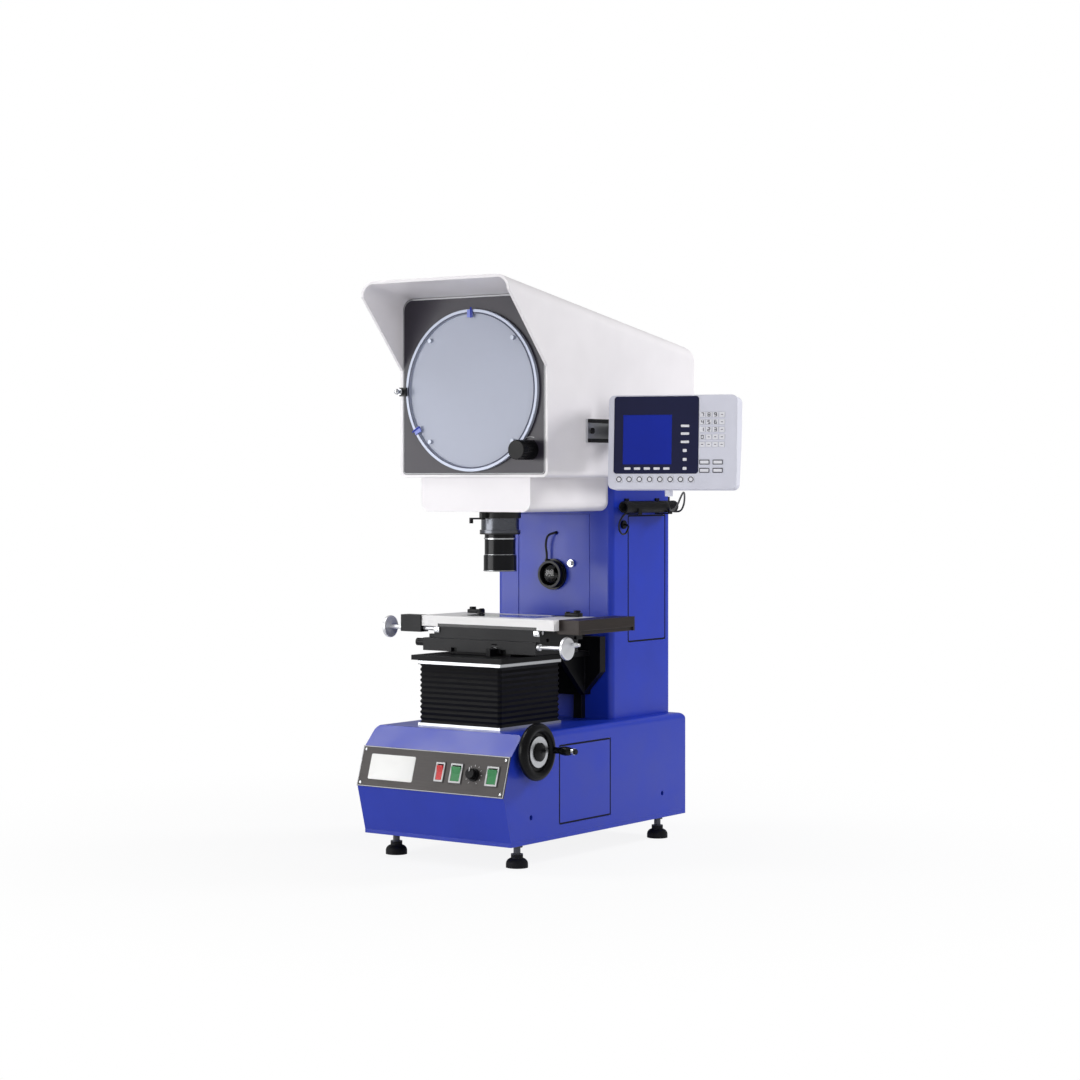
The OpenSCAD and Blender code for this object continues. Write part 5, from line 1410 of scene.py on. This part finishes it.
@dataclass
class Readout(Assembly):
    """The digital readout with its bezel, display and keys.

    A key's size is its width and height.
    """

    looks: Looks = (
        ("bracket_black", ("readout_bracket",)),
        ("grey_case", ("readout_case",)),
        ("navy_bezel", ("readout_bezel",)),
        ("blue_display", ("readout_display",)),
        ("pale_keys", ("readout_keys",)),
    )
    pin: Flat = (0.331, 0.060)
    turn: float = 20.0
    lean: float = 4.0
    out: float = 0.079
    middle_z: float = 0.842
    display_x: float = -0.0510
    under_keys: int = 5
    under_first: float = -0.040
    under_pitch: float = 0.020
    under_z: float = -0.0532
    under_size: Flat = (0.013, 0.005)
    beside_x: float = 0.026
    beside_long: tuple[float, ...] = (0.0325, 0.0169, 0.0003)
    beside_long_size: Flat = (0.017, 0.005)
    beside_short: tuple[float, ...] = (-0.017, -0.035, -0.053)
    beside_short_size: Flat = (0.008, 0.006)
    soft_key_corner: float = 0.0014
    soft_key_height: Flat = (0.0005, 0.0014)
    soft_key_bevel: float = 0.0004
    key_rise: float = 0.0012
    print_half: float = 0.0002
    ring_keys: int = 8
    ring_first: Flat = (-0.108, -0.075)
    ring_pitch: float = 0.021
    ring_radii: Flat = (0.0056, 0.0040)
    wide_first: Flat = (0.066, -0.0405)
    wide_pitch: Flat = (0.027, 0.0165)
    wide_outer: Point = (0.0204, 0.0094, 0.0012)
    wide_inner: Point = (0.0176, 0.0062, 0.0006)
    figure_rows: tuple[str, ...] = ("789-", "456-", "123-", "0---", "----")
    figure_first: Flat = (0.061, 0.055)
    figure_pitch: Flat = (0.0132, 0.015)
    stroke_corner: float = 0.0002

    def build(self) -> None:
        """Dresses the readout's nodes and adds its keys and prints."""
        self.dress()
        place = (
            Matrix.Translation((*self.pin, 0))
            @ Matrix.Rotation(math.radians(self.turn), 4, "Z")
            @ Matrix.Translation((0, -self.out, self.middle_z))
            @ Matrix.Rotation(math.radians(-self.lean), 4, "X")
            @ Matrix.Rotation(QUARTER, 4, "X")
        )
        self._soft_keys(place)
        self._key_prints(place)

    def _soft_keys(self, place: Matrix) -> None:
        """Adds the pale keys on the bezel, under the display and beside it."""
        shape = Shape(place)
        first = self.display_x + self.under_first
        under = [first + self.under_pitch * i for i in range(self.under_keys)]
        spots = [((x, self.under_z), self.under_size) for x in under]
        spots += [((self.beside_x, z), self.beside_long_size) for z in self.beside_long]
        spots += [((self.beside_x, z), self.beside_short_size) for z in self.beside_short]
        for at, size in spots:
            shape.plate(rounded(*size, self.soft_key_corner, at), *self.soft_key_height, self.soft_key_bevel)
        self.put(shape, "bezel_keys", "pale_keys", "readout", "pale_keys")

    def _key_prints(self, place: Matrix) -> None:
        """Adds the dark prints on the keys: rings, outlines and figures."""
        shape = Shape(place)
        low, high = self.key_rise - self.print_half, self.key_rise + self.print_half
        for i in range(self.ring_keys):
            at = (self.ring_first[0] + self.ring_pitch * i, self.ring_first[1])
            outer, inner = (circle(radius, at) for radius in self.ring_radii)
            shape.frame(outer, inner, low, high)
        for i in range(2):
            for j in range(2):
                at = (self.wide_first[0] + self.wide_pitch[0] * i,
                      self.wide_first[1] - self.wide_pitch[1] * j)
                shape.frame(rounded(*self.wide_outer, at), rounded(*self.wide_inner, at), low, high)
        for j, row in enumerate(self.figure_rows):
            for i, sign in enumerate(row):
                at = (self.figure_first[0] + self.figure_pitch[0] * i,
                      self.figure_first[1] - self.figure_pitch[1] * j)
                for x, y, w, h in self._strokes(sign):
                    shape.plate(rounded(w, h, self.stroke_corner, (at[0] + x, at[1] + y), 2), low, high)
        self.put(shape, "key_prints", "print_dark", "readout", "pale_keys")

    @staticmethod
    def _strokes(sign: str) -> list[tuple[float, float, float, float]]:
        """Returns the strokes of a seven-stroke figure or a dash: x, y, width and height."""
        wide, high, line = 0.0044, 0.0066, 0.0013
        bars = {"a": (0, high / 2, wide, line), "d": (0, -high / 2, wide, line), "g": (0, 0, wide, line),
                "f": (-wide / 2, high / 4, line, high / 2), "b": (wide / 2, high / 4, line, high / 2),
                "e": (-wide / 2, -high / 4, line, high / 2), "c": (wide / 2, -high / 4, line, high / 2)}
        figures = {"0": "abcdef", "1": "bc", "2": "abged", "3": "abgcd", "4": "fgbc", "5": "afgcd",
                   "6": "afgedc", "7": "abc", "8": "abcdefg", "9": "abcdfg", "-": "g"}
        return [bars[stroke] for stroke in figures[sign]]


def make_palette(kit: ShaderKit) -> Palette:
    """Returns the palette with every finish of the machine."""
    steel = paint(205, 207, 210)
    gunmetal = paint(84, 85, 90)
    dark = paint(16, 16, 19)
    clip_blue = paint(116, 130, 212)
    mount_black = paint(16, 16, 18)
    finishes = (
        Finish("blue_enamel", paint(26, 51, 170), 0.36, coat=0.05, specular=0.42, height=0.05, fine_scale=700,
               mottle=0.05, edge_wear=0.18, wear_colour=paint(110, 118, 220)),
        Finish("white_enamel", paint(231, 228, 231), 0.36, coat=0.2, height=0.05, fine_scale=700, mottle=0.02,
               edge_wear=0.15, wear_colour=paint(246, 246, 246)),
        Finish("table_white", paint(228, 227, 227), 0.32, coat=0.2, height=0.03, mottle=0.025, edge_wear=0.3,
               wear_colour=paint(200, 202, 205),
               patches=(Patch((-0.104, -0.19, 0.4630), (0.144, -0.1825, 0.4700), dark, 0.4, 0.1),)),
        Finish("plate_white", paint(242, 242, 240), 0.35, height=0.02, mottle=0.03),
        Finish("face_grey", paint(46, 42, 52), 0.34, coat=0.1, specular=0.3, height=0.05, fine_scale=1100,
               mottle=0.04, gloss_spread=0.05, edge_wear=0.25, wear_colour=paint(140, 140, 148),
               patches=(Patch((-0.190, -0.222, 0.935), (-0.158, -0.2032, 0.961), paint(20, 20, 22), 0.4,
                              0.0),)),
        Finish("brushed_panel", paint(70, 67, 66), 0.42, 0.35, specular=0.3, grain=Grain.ALONG_X,
               fine_scale=900, height=0.06, mottle=0.05, edge_wear=0.3, wear_colour=paint(170, 172, 176)),
        Finish("black_metal", dark, 0.38, 0.1, specular=0.22, height=0.06, fine_scale=1200, mottle=0.15,
               edge_wear=0.25, wear_colour=paint(90, 91, 95)),
        Finish("knee_black", paint(9, 9, 12), 0.42, 0.1, specular=0.14, height=0.06, fine_scale=1200,
               mottle=0.15, edge_wear=0.25, wear_colour=paint(90, 91, 95),
               patches=(Patch((-0.2, -0.27, 0.3915), (0.2, -0.033, 0.3974), steel, 0.36, 1.0),)),
        Finish("black_plastic", paint(10, 10, 12), 0.3, specular=0.14, height=0.08, fine_scale=1500,
               mottle=0.1, edge_wear=0.2, wear_colour=paint(70, 70, 74)),
        Finish("grip_black", paint(10, 10, 12), 0.26, specular=0.2, height=0.04, mottle=0.1, edge_wear=0.2,
               wear_colour=paint(70, 70, 74),
               patches=(Patch((0.2552, -0.24, 0.21), (0.27, -0.2, 0.26), steel, 0.3, 1.0),)),
        Finish("crank_satin", paint(226, 227, 230), 0.36, 0.7, height=0.03, fine_scale=1500, mottle=0.04,
               gloss_spread=0.08, edge_wear=0.2, wear_colour=paint(240, 240, 242)),
        # painted shadow: colour of the dark ring on the inner edge of the screen's ring
        Finish("ring_shadow_dark", paint(66, 70, 92), 0.4, specular=0.3, height=0.02, mottle=0.05, edge_radius=0.0002,
               edge_wear=0.0),
        Finish("foot_rubber", paint(20, 20, 22), 0.62, specular=0.2, height=0.1, fine_scale=800, mottle=0.15,
               patches=(Patch((-0.3, -0.4, 0.0262), (0.3, 0.4, 0.07), gunmetal, 0.34, 0.6),)),
        Finish("lamp_black", paint(18, 18, 21), 0.3, 0.2, coat=0.1, specular=0.2, height=0.04, mottle=0.12,
               edge_wear=0.3, wear_colour=paint(100, 102, 106),
               patches=(Patch((0.036, 0.06, 0.580), (0.056, 0.0895, 0.601), steel, 0.2, 1.0),)),
        Finish("barrel_black", paint(16, 16, 19), 0.24, 0.2, coat=0.1, specular=0.2, height=0.03, mottle=0.1,
               edge_wear=0.35, wear_colour=paint(110, 112, 116)),
        Finish("bracket_black", paint(20, 20, 22), 0.4, specular=0.22, height=0.06, mottle=0.12,
               edge_wear=0.25, wear_colour=paint(90, 91, 95),
               patches=(Patch((0.184, -0.08, 0.83), (0.1901, 0.09, 0.90), steel, 0.32, 1.0),)),
        Finish("bellows_black", paint(13, 13, 15), 0.5, specular=0.14, height=0.12, fine_scale=1600,
               mottle=0.12, edge_radius=0.0006, edge_wear=0.12, wear_colour=paint(74, 74, 78)),
        Finish("cord_black", paint(20, 20, 22), 0.42, specular=0.28, height=0.05, mottle=0.1,
               edge_radius=0.0002, edge_wear=0.0),
        Finish("red_switch", paint(196, 20, 24), 0.22, coat=0.3, specular=0.35, height=0.02, mottle=0.06,
               edge_wear=0.2, wear_colour=paint(235, 96, 92)),
        Finish("green_switch", paint(16, 122, 60), 0.22, coat=0.3, specular=0.35, height=0.02, mottle=0.06,
               edge_wear=0.2, wear_colour=paint(96, 190, 130)),
        Finish("bezel_pale", paint(196, 197, 198), 0.3, height=0.02, mottle=0.04, edge_radius=0.0005),
        Finish("print_white", paint(226, 227, 228), 0.5, height=0.02, mottle=0.03, edge_radius=0.0001),
        Finish("print_dark", paint(38, 40, 56), 0.5, specular=0.2, height=0.02, mottle=0.08,
               edge_radius=0.0001, edge_wear=0.0),
        # painted shade: colour of the dark frames in the seams round the doors and the cover
        Finish("seam_shade_black", paint(14, 14, 20), 0.6, specular=0.15, height=0.06, mottle=0.12,
               edge_radius=0.0003, edge_wear=0.05),
        Finish("border_light", paint(196, 197, 200), 0.35, height=0.02, mottle=0.04, edge_radius=0.0002),
        Finish("ground_steel", steel, 0.34, 1.0, grain=Grain.ALONG_X, fine_scale=1200, height=0.06,
               mottle=0.05),
        Finish("bright_steel", paint(214, 216, 219), 0.2, 1.0, height=0.02, fine_scale=1500, mottle=0.04,
               gloss_spread=0.08),
        Finish("clip_steel", paint(178, 184, 198), 0.4, 0.4, height=0.02, mottle=0.04, gloss_spread=0.08,
               patches=(Patch((-0.011, -0.216, 1.088), (0.011, -0.2, 1.116), clip_blue, 0.35, 0.0),
                        Patch((-0.150, -0.216, 0.846), (-0.114, -0.2, 0.886), clip_blue, 0.35, 0.0))),
        Finish("index_blue", paint(30, 44, 150), 0.4, specular=0.2, height=0.01, mottle=0.08,
               edge_radius=0.0002, edge_wear=0.0),
        Finish("dark_chrome", paint(96, 98, 104), 0.24, 0.9, height=0.02, mottle=0.06, gloss_spread=0.1,
               patches=(Patch((-0.06, -0.18, 0.6872), (0.06, -0.03, 0.7050), mount_black, 0.35, 0.1),
                        Patch((-0.06, -0.18, 0.6400), (0.06, -0.03, 0.6568), mount_black, 0.35, 0.1))),
        Finish("ring_silver", paint(172, 178, 194), 0.4, 0.35, height=0.04, fine_scale=1200, mottle=0.03,
               gloss_spread=0.06, edge_wear=0.3, wear_colour=paint(225, 228, 234)),
        Finish("frosted_glass", paint(152, 158, 177), 0.34, coat=0.2, height=0.03, fine_scale=2500,
               mottle=0.025, mottle_scale=5.0, gloss_spread=0.04, edge_wear=0.0),
        Finish("cast_frame", paint(96, 98, 101), 0.6, 0.5, height=0.35, fine_scale=420, mottle=0.12),
        Finish("gear_bronze", paint(186, 148, 78), 0.32, 1.0, height=0.05, mottle=0.1),
        Finish("lamp_metal", paint(176, 178, 181), 0.42, 1.0, height=0.2, fine_scale=500, mottle=0.08),
        Finish("front_mirror", paint(232, 234, 236), 0.04, 1.0, height=0.0, mottle=0.01, gloss_spread=0.02),
        Finish("grey_case", paint(216, 217, 229), 0.45, height=0.18, fine_scale=1300, mottle=0.03,
               edge_wear=0.15, wear_colour=paint(230, 231, 234)),
        Finish("navy_bezel", paint(22, 25, 60), 0.3, coat=0.1, specular=0.3, height=0.02, mottle=0.04,
               gloss_spread=0.04, edge_radius=0.0004, edge_wear=0.1, wear_colour=paint(80, 90, 150)),
        Finish("blue_display", paint(14, 36, 148), 0.16, coat=0.05, specular=0.3, height=0.01, mottle=0.08,
               mottle_scale=6.0, gloss_spread=0.04, edge_wear=0.0, glow=0.1),
        Finish("pale_keys", paint(232, 232, 238), 0.42, height=0.08, fine_scale=1500, mottle=0.03,
               edge_radius=0.0004),
        Finish("brown_box", paint(40, 33, 30), 0.36, 0.25, specular=0.3, grain=Grain.ALONG_Y, fine_scale=900,
               height=0.05, mottle=0.08, edge_wear=0.3, wear_colour=paint(110, 102, 96)),
        ClearGlass("lens_glass", (0.62, 0.86, 0.76, 1.0)),
        ClearGlass("table_glass", (0.86, 0.95, 0.93, 1.0)),
    )
    return Palette(kit, {finish.name: finish for finish in finishes})


def main() -> None:
    """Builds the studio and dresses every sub-assembly."""
    logging.basicConfig(level=logging.INFO, format="%(message)s")
    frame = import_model()
    Studio().build()
    palette, trees, nodes = make_palette(ShaderKit()), NodeKit(), frame["nodes"]
    for part in (Leads, BaseHousing, Bellows, ControlPanel, Stage, Head, Readout):
        part(palette, trees, nodes).build()


if __name__ == "__main__":
    main()
